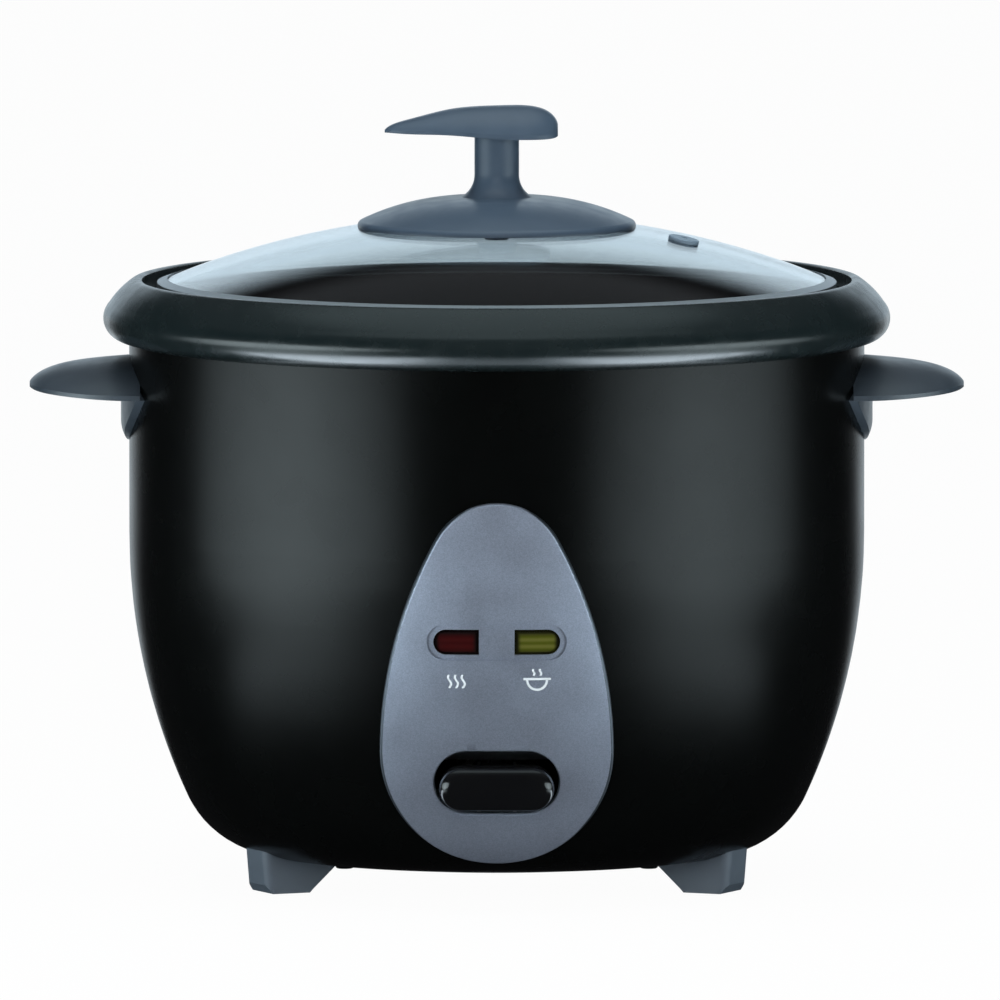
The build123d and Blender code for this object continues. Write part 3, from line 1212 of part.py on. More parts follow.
def knob_base():
    """A shallow dome that spreads the load on the glass, with the stem that carries the grip."""
    stem_top = GLASS_TOP + KNOB_STEM_RISE + KNOB_SOCKET
    shoulder = rz(KNOB_SHOULDER_RADIUS, GLASS_TOP + KNOB_SHOULDER_RISE)
    neck = rz(KNOB_STEM_RADIUS, shoulder.Z + KNOB_STEM_FILLET)
    edge = rz(KNOB_BASE_RADIUS, glass_height(KNOB_BASE_RADIUS) + KNOB_BASE_EDGE)
    waist = rz(KNOB_STEM_RADIUS + KNOB_WAIST[0], neck.Z - KNOB_WAIST[1] * KNOB_STEM_FILLET)
    brim = edge + rz(-KNOB_BRIM[0], KNOB_BRIM[1])
    brim_middle = edge + rz(-KNOB_BRIM_MIDDLE[0], KNOB_BRIM_MIDDLE[1])
    crown = (shoulder + brim) / 2 + rz(*KNOB_CROWN)
    low = GLASS_TOP - KNOB_BASE_RADIUS / 4
    base = turned(
        Polyline(rz(0, low), rz(0, stem_top), rz(KNOB_STEM_RADIUS, stem_top), neck),
        ThreePointArc(neck, waist, shoulder),
        ThreePointArc(shoulder, crown, brim),
        ThreePointArc(brim, brim_middle, edge),
        Polyline(edge, rz(KNOB_BASE_RADIUS, low), rz(0, low)),
    )
    boss = KNOB_SHOULDER_RADIUS - KNOB_BOSS_INSET
    hollow_end = KNOB_BASE_RADIUS - KNOB_RIM_WIDTH
    base -= turned(Polyline(
        rz(boss, low - CUT),
        rz(boss, shoulder.Z - KNOB_WALL - KNOB_CROWN[0]),
        rz(crown.X, crown.Z - KNOB_WALL),
        rz(hollow_end, glass_height(hollow_end) + KNOB_BASE_EDGE),
        rz(hollow_end, low - CUT),
        close=True))
    base -= dome_cap(GLASS_RADIUS, low - 2 * CUT, KNOB_BASE_RADIUS + CUT)
    return base - rod(KNOB_SCREW_RADIUS, low, GLASS_TOP + KNOB_SCREW_REACH)


def knob_grip():
    """A leaf-shaped grip: a long thin tip to the left, a blunt round end to the right."""
    low = GLASS_TOP + KNOB_STEM_RISE
    grip = loft([
        d_section(x, half_width, low + lift, edge, low + high)
        for x, half_width, lift, edge, high in KNOB_SLICES
    ])
    return grip - rod(KNOB_STEM_RADIUS, GLASS_TOP, low + KNOB_SOCKET)


GASKET_TOP = GLASS_TOP - GLASS_THICKNESS
WASHER_TOP = GASKET_TOP - KNOB_GASKET_THICKNESS
KNOB_SEAT = Plane(origin=(0, 0, WASHER_TOP - KNOB_WASHER_THICKNESS))


def knob_gasket():
    gasket = rod(KNOB_GASKET_RADIUS, WASHER_TOP, GLASS_TOP)
    gasket &= dome_cap(GLASS_INNER_RADIUS, WASHER_TOP - CUT, 2 * KNOB_GASKET_RADIUS)
    return gasket - rod(KNOB_SCREW_RADIUS, WASHER_TOP - CUT, GLASS_TOP)


def knob_washer():
    low = WASHER_TOP - KNOB_WASHER_THICKNESS
    return rod(KNOB_WASHER_RADIUS, low, WASHER_TOP) - rod(KNOB_SCREW_RADIUS, low - CUT, WASHER_TOP + CUT)


def knob_screw():
    reach = GLASS_TOP + KNOB_SCREW_REACH - KNOB_SEAT.origin.Z
    return screw(KNOB_SEAT, reach, KNOB_SCREW_RADIUS)


def lead(points, radius):
    """An insulated wire along straight runs joined by arcs."""
    path = FilletPolyline(*points, radius=radius)
    section = Plane(origin=path @ 0, z_dir=path % 0) * Circle(LEAD_RADIUS)
    return sweep(section, path=path)


BLADE_END = INLET_FACE - INLET_DEPTH - INLET_BACK - BLADE_TAIL - LEAD_TOUCH
BLADE_LEVEL = INLET_HEIGHT + BLADE_PLACES[0][1]
SUPPLY_X, RETURN_X = BLADE_PLACES[0][0], BLADE_PLACES[2][0]
TERMINAL_HEIGHT = SWITCH_LOW - 2 * TERMINAL_LENGTH / 3
TERMINAL_TOUCH = TERMINAL_HALF_THICKNESS + LEAD_TOUCH
ELEMENT_PIN_X = ELEMENT_CIRCLE * cos(radians(ELEMENT_ENDS[0]))
ELEMENT_PIN_Y = ELEMENT_CIRCLE * sin(radians(ELEMENT_ENDS[0]))
ELEMENT_TOUCH = ELEMENT_PIN_Y + ELEMENT_PIN_RADIUS + LEAD_TOUCH
ELEMENT_LEVEL = ELEMENT_PIN_END + LEAD_LIFT
HEATER_CORNER = seat_at(BODY_RADIUS - LEAD_INSET, LEAD_ANGLES[0], LEAD_LEVEL + LEAD_RUN / 2).origin
RETURN_CORNER = seat_at(BODY_RADIUS - LEAD_INSET, LEAD_ANGLES[1], ELEMENT_PIN_END).origin
LEAD_ROUTES = {
    "supply_lead": (
        (SUPPLY_X, BLADE_END, BLADE_LEVEL),
        (SUPPLY_X, BLADE_END - LEAD_RUN, BLADE_LEVEL),
        (-LEAD_SPREAD, BLADE_END / 2, LEAD_LEVEL + LEAD_RUN / 2),
        (-LEAD_SPREAD, 0, LEAD_LEVEL),
        (-LEAD_RUN, -BRIDGE_HALF_LENGTH / 2, TERMINAL_HEIGHT),
        (0, -BRIDGE_HALF_LENGTH, TERMINAL_HEIGHT),
        (0, REAR_TERMINAL + TERMINAL_TOUCH, TERMINAL_HEIGHT)),
    "heater_lead": (
        (0, FRONT_TERMINAL - TERMINAL_TOUCH, TERMINAL_HEIGHT),
        (0, FRONT_TERMINAL - LEAD_RUN / 3, TERMINAL_HEIGHT),
        (-LEAD_SPREAD, FRONT_TERMINAL, TERMINAL_HEIGHT),
        HEATER_CORNER,
        (ELEMENT_PIN_X, -ELEMENT_TOUCH - LEAD_RUN / 2, ELEMENT_LEVEL),
        (ELEMENT_PIN_X, -ELEMENT_TOUCH, ELEMENT_LEVEL)),
    "return_lead": (
        (ELEMENT_PIN_X, ELEMENT_TOUCH, ELEMENT_LEVEL),
        (ELEMENT_PIN_X, ELEMENT_TOUCH + LEAD_RUN / 2, ELEMENT_LEVEL),
        RETURN_CORNER,
        (-LEAD_RUN / 2, BLADE_END - 1.5 * LEAD_RUN, ELEMENT_PIN_END),
        (RETURN_X, BLADE_END - LEAD_RUN / 2, BLADE_LEVEL),
        (RETURN_X, BLADE_END, BLADE_LEVEL)),
}

PARTS = {
    "outer_shell": outer_shell(),
    "top_ring": top_ring(),
    "inner_liner": inner_liner(),
    "base_plate": base_plate(),
    "base_screws": Part() + [screw(seat, BASE_SCREW_REACH) for seat in BASE_SEATS],
    "foot_screws": Part() + [screw(seat, FOOT_SCREW_REACH) for seat in FOOT_SEATS],
    "left_handle": left_handle(),
    "right_handle": right_handle(),
    "handle_screws": Part() + [screw(seat, HANDLE_SCREW_REACH) for seat in HANDLE_SEATS],
    "control_panel": control_panel(),
    "panel_nuts": panel_nuts(),
    "cook_lens": lens(-1),
    "warm_lens": lens(1),
    "lamp_holder": lamp_holder(),
    "cook_lamp": lamp(-1),
    "warm_lamp": lamp(1),
    "lever_paddle": lever_paddle(),
    "lever_arm": lever_arm(),
    "lever_pivot_pin": lever_pivot_pin(),
    "lever_bracket": lever_bracket(),
    "micro_switch": micro_switch(),
    "switch_plunger": switch_plunger(),
    "switch_screws": switch_screws(),
    "support_bridge": support_bridge(),
    "bridge_screws": Part() + [screw(seat, BRIDGE_SCREW_REACH) for seat in BRIDGE_SEATS],
    "sensor_guide": sensor_guide(),
    "sensor_cap": sensor_cap(),
    "ferrite_core": ferrite_core(),
    "sensor_spring": sensor_spring(),
    "magnet_ring": magnet_ring(),
    "magnet_holder": magnet_holder(),
    "magnet_spring": magnet_spring(),
    "rod_collar": rod_collar(),
    "heating_plate": heating_plate(),
    "heating_element": heating_element(),
    "plate_screws": Part() + [screw(seat, PLATE_SCREW_REACH, PLATE_SCREW_RADIUS) for seat in LEG_SEATS],
    "thermal_fuse": thermal_fuse(),
    "fuse_clip": fuse_clip(),
    "power_inlet": power_inlet(),
    "inlet_blades": Part() + inlet_blade_blocks(),
    "inlet_screws": Part() + [screw(seat, INLET_SCREW_REACH) for seat in INLET_SEATS],
    "inner_pot": inner_pot(),
    "lid_glass": lid_glass(),
    "lid_band": lid_band(),
    "vent_grommet": vent_grommet(),
    "knob_base": knob_base(),
    "knob_grip": knob_grip(),
    "knob_screw": knob_screw(),
    "knob_washer": knob_washer(),
    "knob_gasket": knob_gasket(),
}
PARTS.update({name: foot(angle) for name, angle in FOOT_ANGLES.items()})
PARTS.update({name: lead(points, LEAD_BEND) for name, points in LEAD_ROUTES.items()})

os.makedirs("parts", exist_ok=True)
for name, solid in PARTS.items():
    export_step(solid, os.path.join("parts", name + ".step"))
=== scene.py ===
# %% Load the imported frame
import math

import bpy
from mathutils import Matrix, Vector


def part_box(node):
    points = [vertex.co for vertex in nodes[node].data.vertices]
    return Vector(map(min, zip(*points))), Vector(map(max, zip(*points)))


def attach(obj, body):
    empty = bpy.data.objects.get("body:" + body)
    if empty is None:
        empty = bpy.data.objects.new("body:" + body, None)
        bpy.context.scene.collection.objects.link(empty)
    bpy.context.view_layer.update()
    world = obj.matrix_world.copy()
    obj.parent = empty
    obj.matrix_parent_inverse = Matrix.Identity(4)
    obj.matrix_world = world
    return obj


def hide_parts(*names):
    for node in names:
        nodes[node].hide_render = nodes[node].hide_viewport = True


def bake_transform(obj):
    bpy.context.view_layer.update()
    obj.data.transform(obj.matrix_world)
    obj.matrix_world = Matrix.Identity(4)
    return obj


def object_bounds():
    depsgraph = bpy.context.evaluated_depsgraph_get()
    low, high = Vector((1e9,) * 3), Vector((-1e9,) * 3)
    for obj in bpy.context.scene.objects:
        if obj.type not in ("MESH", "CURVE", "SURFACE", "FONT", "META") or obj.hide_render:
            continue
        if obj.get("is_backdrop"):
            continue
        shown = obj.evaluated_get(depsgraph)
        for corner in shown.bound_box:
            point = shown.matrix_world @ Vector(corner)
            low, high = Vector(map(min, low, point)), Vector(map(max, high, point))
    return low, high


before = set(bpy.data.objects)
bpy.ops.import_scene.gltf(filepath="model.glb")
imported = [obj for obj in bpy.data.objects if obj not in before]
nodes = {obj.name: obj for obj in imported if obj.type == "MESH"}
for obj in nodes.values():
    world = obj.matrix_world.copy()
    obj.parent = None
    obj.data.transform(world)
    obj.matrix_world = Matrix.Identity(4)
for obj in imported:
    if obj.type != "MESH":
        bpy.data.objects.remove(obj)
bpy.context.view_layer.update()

# %% [markdown]
# ## The camera
# The photograph was taken from a long way off with a long lens: upright walls stay upright, and the
# ellipses of the rim are very flat. So the camera stands thirteen metres away, five degrees above the
# worktop, and its focal length gives 2.94 pixels to the millimetre. A short lens close by would spread
# the front and shrink the back.

# %% Camera
PIXELS_ACROSS = 1000
PIXELS_PER_METRE = 2940.0
SENSOR_WIDTH = 36.0
CAMERA_DISTANCE = 13.0
CAMERA_REACH = 100.0
CAMERA_ELEVATION = math.radians(5.1)
AIM = Vector((0.0011, 0.0, 0.1303))

bpy.ops.object.select_all(action="DESELECT")
back = Vector((0.0, -math.cos(CAMERA_ELEVATION), math.sin(CAMERA_ELEVATION)))
bpy.ops.object.camera_add(location=AIM + back * CAMERA_DISTANCE)
camera = bpy.context.object
camera.name = "long_lens_camera"
camera.rotation_euler = (-back).to_track_quat("-Z", "Y").to_euler()
camera.data.sensor_width = SENSOR_WIDTH
camera.data.lens = PIXELS_PER_METRE * CAMERA_DISTANCE * SENSOR_WIDTH / PIXELS_ACROSS
camera.data.clip_end = CAMERA_REACH
bpy.context.scene.camera = camera
bpy.context.scene.view_settings.view_transform = "Standard"
print("camera lens", round(camera.data.lens), "mm")

# %% [markdown]
# ## The studio floor
# A product like this is shot on a white sweep between two softboxes, with black flags that keep the
# bright floor out of the gloss shell. The floor here is one wide plane, a hair below the feet. The camera
# and views through glass see it as white, while a small share of it stays a plain matt surface, so that
# the cooker's own shadow shows on it. Mirror rays see white far behind the cooker and the dark of the
# flags elsewhere, apart from two things. Beside each softbox a strip of floor is lit, which carries the
# glow on the shell down into the bowl. And two white cards on the worktop, left and right of the middle,
# draw the bright line along the lower edge of the rim. Only rays that fall steeply from the rim's height
# see the cards: their length is large against the distance from the axis at which they land.

# %% Helpers for the studio


def soft_step(tree, value, start, end):
    """0 before the start and 1 past the end, smooth between. The start may lie beyond the end."""
    ramp = tree.nodes.new("ShaderNodeMapRange")
    ramp.interpolation_type = "SMOOTHSTEP"
    falling = start > end
    ramp.inputs["From Min"].default_value = min(start, end)
    ramp.inputs["From Max"].default_value = max(start, end)
    ramp.inputs["To Min"].default_value = 1.0 if falling else 0.0
    ramp.inputs["To Max"].default_value = 0.0 if falling else 1.0
    tree.links.new(value, ramp.inputs["Value"])
    return ramp.outputs["Result"]


def combine(tree, operation, first, second):
    """A maths node on two values, each a socket or a number."""
    node = tree.nodes.new("ShaderNodeMath")
    node.operation = operation
    for value, socket in zip((first, second), node.inputs):
        if isinstance(value, float):
            socket.default_value = value
        else:
            tree.links.new(value, socket)
    return node.outputs[0]


def mix_colours(tree, share, first, second):
    """Two colours, each a socket or a colour, mixed by a share."""
    mix = tree.nodes.new("ShaderNodeMix")
    mix.data_type = "RGBA"
    tree.links.new(share, mix.inputs["Factor"])
    for colour, socket in ((first, mix.inputs["A"]), (second, mix.inputs["B"])):
        if isinstance(colour, tuple):
            socket.default_value = colour
        else:
            tree.links.new(colour, socket)
    return mix.outputs["Result"]


def mix_shaders(tree, share, first, second):
    """Two shaders, blended by a share."""
    node = tree.nodes.new("ShaderNodeMixShader")
    tree.links.new(share, node.inputs["Fac"])
    tree.links.new(first, node.inputs[1])
    tree.links.new(second, node.inputs[2])
    return node.outputs["Shader"]


def glow_of(tree, colour, strength=1.0):
    """An even glow."""
    node = tree.nodes.new("ShaderNodeEmission")
    node.inputs["Color"].default_value = colour
    node.inputs["Strength"].default_value = strength
    return node.outputs["Emission"]


print("studio helpers ready")

# %% Floor
FLOOR_SIZE = 60.0
FLOOR_DROP = 0.0001
FLOOR_PALE = (0.86, 0.87, 0.88, 1.0)
FLOOR_ROUGHNESS = 0.9

bpy.ops.mesh.primitive_plane_add(size=FLOOR_SIZE, location=(0.0, 0.0, -FLOOR_DROP))
floor = bpy.context.object
floor.name = "floor"
sweep_paper = bpy.data.materials.new("sweep_paper")
sweep_paper.use_nodes = True
tree = sweep_paper.node_tree
matt = tree.nodes["Principled BSDF"]
matt.inputs["Base Color"].default_value = FLOOR_PALE
matt.inputs["Roughness"].default_value = FLOOR_ROUGHNESS
matt.inputs["Specular IOR Level"].default_value = 0.0
print("floor", FLOOR_SIZE, "m across")

# %% Where a ray meets the floor
place = tree.nodes.new("ShaderNodeTexCoord").outputs["Object"]
distance = tree.nodes.new("ShaderNodeVectorMath")
distance.operation = "LENGTH"
tree.links.new(place, distance.inputs[0])
from_axis = distance.outputs["Value"]
heading = tree.nodes.new("ShaderNodeVectorMath")
heading.operation = "NORMALIZE"
tree.links.new(place, heading.inputs[0])
heading_parts = tree.nodes.new("ShaderNodeSeparateXYZ")
tree.links.new(heading.outputs["Vector"], heading_parts.inputs["Vector"])
place_parts = tree.nodes.new("ShaderNodeSeparateXYZ")
tree.links.new(place, place_parts.inputs["Vector"])
rays = tree.nodes.new("ShaderNodeLightPath").outputs
print("floor places ready")

# %% White sweep and dark flags
FLOOR_WHITE = (1.0, 1.0, 1.0, 1.0)
FLOOR_SHADOW_SHARE = 0.03
SWEEP_SPAN = (0.84, 0.94)
SWEEP_MIRRORED = (0.82, 0.93, 1.0, 1.0)
FLAG_DARK = (0.012, 0.012, 0.013, 1.0)

behind = soft_step(tree, heading_parts.outputs["Y"], *SWEEP_SPAN)
direct = combine(tree, "MAXIMUM", rays["Is Camera Ray"], rays["Is Transmission Ray"])
mirrored = combine(tree, "MULTIPLY", rays["Is Glossy Ray"], behind)
flagged = combine(tree, "SUBTRACT", rays["Is Glossy Ray"], mirrored)
white = combine(tree, "MULTIPLY", combine(tree, "MAXIMUM", direct, mirrored), 1.0 - FLOOR_SHADOW_SHARE)
paper = mix_shaders(tree, white, matt.outputs["BSDF"], glow_of(tree, FLOOR_WHITE))
sweep = mix_shaders(tree, mirrored, paper, glow_of(tree, SWEEP_MIRRORED))
flags = mix_shaders(tree, flagged, sweep, glow_of(tree, FLAG_DARK))
print("sweep and flags ready")

# %% Lit strips
LIT_WHITE = (0.80, 0.95, 1.0, 1.0)
LIT_GLOW = 2.5
LIT_NEAR = (0.17, 0.36)
LIT_FAR = (0.62, 0.46)
LIT_FRONT = (-0.93, -0.60)
LIT_BACK = (-0.02, -0.45)

ring_shape = [soft_step(tree, from_axis, *span) for span in (LIT_NEAR, LIT_FAR)]
sector_shape = [soft_step(tree, heading_parts.outputs["Y"], *span) for span in (LIT_FRONT, LIT_BACK)]
lit_ring = combine(tree, "MULTIPLY", *ring_shape)
lit = combine(tree, "MULTIPLY", lit_ring, combine(tree, "MULTIPLY", *sector_shape))
lighted = combine(tree, "MULTIPLY", rays["Is Glossy Ray"], lit)
lit_floor = mix_shaders(tree, lighted, flags, glow_of(tree, LIT_WHITE, LIT_GLOW))
print("strips of floor lit to", LIT_GLOW)

# %% White cards
CARD_WHITE = (0.78, 0.90, 1.0, 1.0)
CARD_GLOW = 10.0
CARD_STEEPNESS = (0.66, 1.0)
CARD_END = (0.36, 0.27)
CARD_MIDDLE = (0.03, 0.12)
CARD_MIDDLE_SHARE = 0.16
CARD_BACK = (-0.03, -0.08)

steep = soft_step(tree, combine(tree, "DIVIDE", rays["Ray Length"], from_axis), *CARD_STEEPNESS)
close = soft_step(tree, from_axis, *CARD_END)
sideways = soft_step(tree, combine(tree, "ABSOLUTE", place_parts.outputs["X"], 0.0), *CARD_MIDDLE)
before = soft_step(tree, place_parts.outputs["Y"], *CARD_BACK)
across = combine(tree, "MAXIMUM", sideways, CARD_MIDDLE_SHARE)
card = combine(tree, "MULTIPLY", combine(tree, "MULTIPLY", steep, close), across)
carded = combine(tree, "MULTIPLY", rays["Is Glossy Ray"], combine(tree, "MULTIPLY", card, before))
surface = mix_shaders(tree, carded, lit_floor, glow_of(tree, CARD_WHITE, CARD_GLOW))
tree.links.new(surface, tree.nodes["Material Output"].inputs["Surface"])
floor.data.materials.append(sweep_paper)
floor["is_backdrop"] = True
print("cards lit to", CARD_GLOW)

# %% [markdown]
# ## The room's own light
# Mirror rays that leave the cooker backwards at a low angle meet the white sweep behind it, which is what
# makes the glass lid pale at its sides. Other low rays meet black flags, which keep the middle and the
# edges of the shell dark. Rays that go up meet a dim room, and the steepest of them its pale ceiling. The
# camera itself sees white. One background shader does this from the ray's direction and kind.

# %% World
ROOM_DIM = (0.080, 0.084, 0.090, 1.0)
SWEEP_WHITE = (0.74, 0.89, 1.0, 1.0)
SWEEP_TOP = (0.62, 0.50)
CEILING_WHITE = (0.62, 0.76, 0.80, 1.0)
CEILING_RISE = (0.76, 0.92)

room = bpy.data.worlds.new("studio_room")
room.use_nodes = True
bpy.context.scene.world = room
tree = room.node_tree
direction = tree.nodes.new("ShaderNodeSeparateXYZ")
tree.links.new(tree.nodes.new("ShaderNodeTexCoord").outputs["Generated"], direction.inputs["Vector"])
behind = soft_step(tree, direction.outputs["Y"], *SWEEP_SPAN)
low = soft_step(tree, direction.outputs["Z"], *SWEEP_TOP)
window = combine(tree, "MULTIPLY", behind, low)
seen = tree.nodes.new("ShaderNodeLightPath").outputs["Is Camera Ray"]
ceiling = soft_step(tree, direction.outputs["Z"], *CEILING_RISE)
upper_room = mix_colours(tree, ceiling, ROOM_DIM, CEILING_WHITE)
flagged_room = mix_colours(tree, low, upper_room, FLAG_DARK)
mirrored_room = mix_colours(tree, window, flagged_room, SWEEP_WHITE)
paint = mix_colours(tree, seen, mirrored_room, FLOOR_WHITE)
tree.links.new(paint, tree.nodes["Background"].inputs["Color"])
print("room light set")

# %% [markdown]
# ## The softboxes
# Each softbox fills the directions from about 30 to 100 degrees to one side of the lens. On a round wall
# that is where the glow has to sit to begin a third of the way out and to end before the edge. They stand
# close and low, because a lens five degrees above the worktop sees the upright wall mirror what lies a
# little below its own level. Their upper edge ends there, so the upper half of the rim stays dark. They
# are oval, with a narrowed beam, so that the glow fades at its ends. The top light and the front light
# only fill: neither mirror rays nor rays through glass see them, because they would show as pale patches
# in the lid and on the shell.

# %% Softbox model


def softbox(name, place, aim, size, watts):
    """An oval lamp that faces a point, and that the camera itself doesn't see."""
    bpy.ops.object.light_add(type="AREA", location=place)
    lamp = bpy.context.object
    lamp.name = name
    lamp.rotation_euler = (Vector(aim) - Vector(place)).to_track_quat("-Z", "Y").to_euler()
    lamp.data.shape = "ELLIPSE"
    lamp.data.size, lamp.data.size_y = size
    lamp.data.energy = watts
    lamp.visible_camera = False
    return lamp


print("softbox model ready")

# %% Softboxes
SOFTBOX_DISTANCE = 0.55
SOFTBOX_AZIMUTH = math.radians(64.0)
SOFTBOX_SIZE = (0.86, 0.18)
SOFTBOX_HEIGHT = 0.091
SOFTBOX_SPREAD = math.radians(92.0)
LEFT_WATTS = 0.60
RIGHT_WATTS = 0.47
SOFTBOX_TINT = (0.80, 0.95, 1.0)
TOP_LIGHT_SIZE = (1.6, 1.6)
TOP_LIGHT_PLACE = (0.0, -0.3, 1.9)
TOP_LIGHT_WATTS = 14.0
FRONT_LIGHT_SIZE = (1.8, 1.2)
FRONT_LIGHT_PLACE = (0.0, -2.4, 0.9)
FRONT_LIGHT_WATTS = 22.0
LIGHT_AIM = (0.0, 0.0, 0.1)

for side, name, watts in ((-1, "softbox_left", LEFT_WATTS), (1, "softbox_right", RIGHT_WATTS)):
    across = side * SOFTBOX_DISTANCE * math.sin(SOFTBOX_AZIMUTH)
    towards = -SOFTBOX_DISTANCE * math.cos(SOFTBOX_AZIMUTH)
    lamp_place = (across, towards, SOFTBOX_HEIGHT)
    side_light = softbox(name, lamp_place, (0.0, 0.0, SOFTBOX_HEIGHT), SOFTBOX_SIZE, watts)
    side_light.data.color = SOFTBOX_TINT
    side_light.data.spread = SOFTBOX_SPREAD
top_light = softbox("top_light", TOP_LIGHT_PLACE, LIGHT_AIM, TOP_LIGHT_SIZE, TOP_LIGHT_WATTS)
front_light = softbox("front_light", FRONT_LIGHT_PLACE, LIGHT_AIM, FRONT_LIGHT_SIZE, FRONT_LIGHT_WATTS)
for fill in (top_light, front_light):
    fill.visible_glossy = False
    fill.visible_transmission = False
print("four soft lights")

# %% [markdown]
# ## How the finishes are made
# No real surface is one flat colour. Each finish here starts from a noise in the piece's own coordinates,
# which tints the colour a little, makes the gloss wander, and raises a fine grain as bump. Numbers that
# are the same all over, such as metallic or coat, are set on the shader itself.

# %% Helpers for finishes
SMOOTH_SPAN = (0.35, 0.65)


def new_finish(name, **sockets):
    """A material with its shader, its node tree and the piece's own coordinates."""
    material = bpy.data.materials.new(name)
    material.use_nodes = True
    tree = material.node_tree
    shader = tree.nodes["Principled BSDF"]
    for socket, value in sockets.items():
        shader.inputs[socket.replace("_", " ")].default_value = value
    place = tree.nodes.new("ShaderNodeTexCoord").outputs["Object"]
    return material, tree, shader, place


def noise_of(tree, place, scale, stretch=(1.0, 1.0, 1.0), detail=3.0):
    """Noise on the piece, in cells per metre, stretched along an axis where the real grain is."""
    mapping = tree.nodes.new("ShaderNodeMapping")
    mapping.inputs["Scale"].default_value = stretch
    tree.links.new(place, mapping.inputs["Vector"])
    noise = tree.nodes.new("ShaderNodeTexNoise")
    noise.inputs["Scale"].default_value = scale
    noise.inputs["Detail"].default_value = detail
    tree.links.new(mapping.outputs["Vector"], noise.inputs["Vector"])
    return noise.outputs["Fac"]


def spread(tree, value, low, high, span=SMOOTH_SPAN):
    """A noise spread over a range of roughness or weight."""
    ramp = tree.nodes.new("ShaderNodeMapRange")
    ramp.inputs["From Min"].default_value = span[0]
    ramp.inputs["From Max"].default_value = span[1]
    ramp.inputs["To Min"].default_value = low
    ramp.inputs["To Max"].default_value = high
    tree.links.new(value, ramp.inputs["Value"])
    return ramp.outputs["Result"]


def tint(tree, value, dark, light):
    """Two close colours, mixed by a noise."""
    return mix_colours(tree, value, (*dark, 1.0), (*light, 1.0))


def raise_grain(tree, shader, value, depth, strength=1.0):
    """Bump of a real depth in metres."""
    bump = tree.nodes.new("ShaderNodeBump")
    bump.inputs["Distance"].default_value = depth
    bump.inputs["Strength"].default_value = strength
    tree.links.new(value, bump.inputs["Height"])
    tree.links.new(bump.outputs["Normal"], shader.inputs["Normal"])


print("finish helpers ready")

# %% Grained and turned finishes


def speckled(name, dark, light, rough, cells, grain_cells, grain_depth, stretch=(1.0, 1.0, 1.0), **sockets):
    """A moulded, cast or plated finish: colour and gloss wander, and a fine grain stands up."""
    material, tree, shader, place = new_finish(name, **sockets)
    wander = noise_of(tree, place, cells, stretch)
    tree.links.new(tint(tree, wander, dark, light), shader.inputs["Base Color"])
    tree.links.new(spread(tree, wander, *rough), shader.inputs["Roughness"])
    raise_grain(tree, shader, noise_of(tree, place, grain_cells, stretch), grain_depth)
    return material


def turned_coordinate(tree, place):
    """A coordinate that runs outwards from the cooker's axis and up: noise on it draws turning rings."""
    split = tree.nodes.new("ShaderNodeSeparateXYZ")
    tree.links.new(place, split.inputs["Vector"])
    flat = tree.nodes.new("ShaderNodeCombineXYZ")
    tree.links.new(split.outputs["X"], flat.inputs["X"])
    tree.links.new(split.outputs["Y"], flat.inputs["Y"])
    length = tree.nodes.new("ShaderNodeVectorMath")
    length.operation = "LENGTH"
    tree.links.new(flat.outputs["Vector"], length.inputs[0])
    rings = tree.nodes.new("ShaderNodeCombineXYZ")
    tree.links.new(length.outputs["Value"], rings.inputs["X"])
    tree.links.new(split.outputs["Z"], rings.inputs["Y"])
    return rings.outputs["Vector"], length.outputs["Value"], split.outputs["Z"]


print("grained and turned finishes ready")

# %% [markdown]
# ## Shell, ring and plastics
# The drum is steel under gloss black enamel. Enamel flows out to a faint orange peel, which softens what
# it mirrors. The ring, handles, feet and knob are moulded plastic in greys that lean to blue, each with
# its own gloss.

# %% Outer finishes
shell_enamel = speckled(
    "shell_enamel", (0.0014, 0.0016, 0.0015), (0.0022, 0.0025, 0.0024),
    rough=(0.255, 0.280), cells=60.0, grain_cells=900.0, grain_depth=4e-6,
    Specular_IOR_Level=0.18)
ring_plastic = speckled(
    "ring_plastic", (0.007, 0.012, 0.013), (0.011, 0.017, 0.018),
    rough=(0.22, 0.29), cells=140.0, grain_cells=2600.0, grain_depth=6e-6)
handle_plastic = speckled(
    "handle_plastic", (0.036, 0.047, 0.060), (0.049, 0.062, 0.078),
    rough=(0.30, 0.38), cells=160.0, grain_cells=2600.0, grain_depth=1.4e-5)
foot_plastic = speckled(
    "foot_plastic", (0.094, 0.113, 0.140), (0.114, 0.136, 0.166),
    rough=(0.42, 0.52), cells=160.0, grain_cells=2600.0, grain_depth=1.6e-5)
knob_plastic = speckled(
    "knob_plastic", (0.068, 0.102, 0.146), (0.082, 0.120, 0.172),
    rough=(0.30, 0.38), cells=160.0, grain_cells=2600.0, grain_depth=8e-6)
key_black = speckled(
    "key_black", (0.0035, 0.0035, 0.0040), (0.005, 0.005, 0.0055),
    rough=(0.08, 0.12), cells=120.0, grain_cells=1500.0, grain_depth=2e-6)
inlet_plastic = speckled(
    "inlet_plastic", (0.014, 0.014, 0.016), (0.020, 0.020, 0.022),
    rough=(0.45, 0.55), cells=160.0, grain_cells=2400.0, grain_depth=2e-5)
print("outer plastics and enamel made")
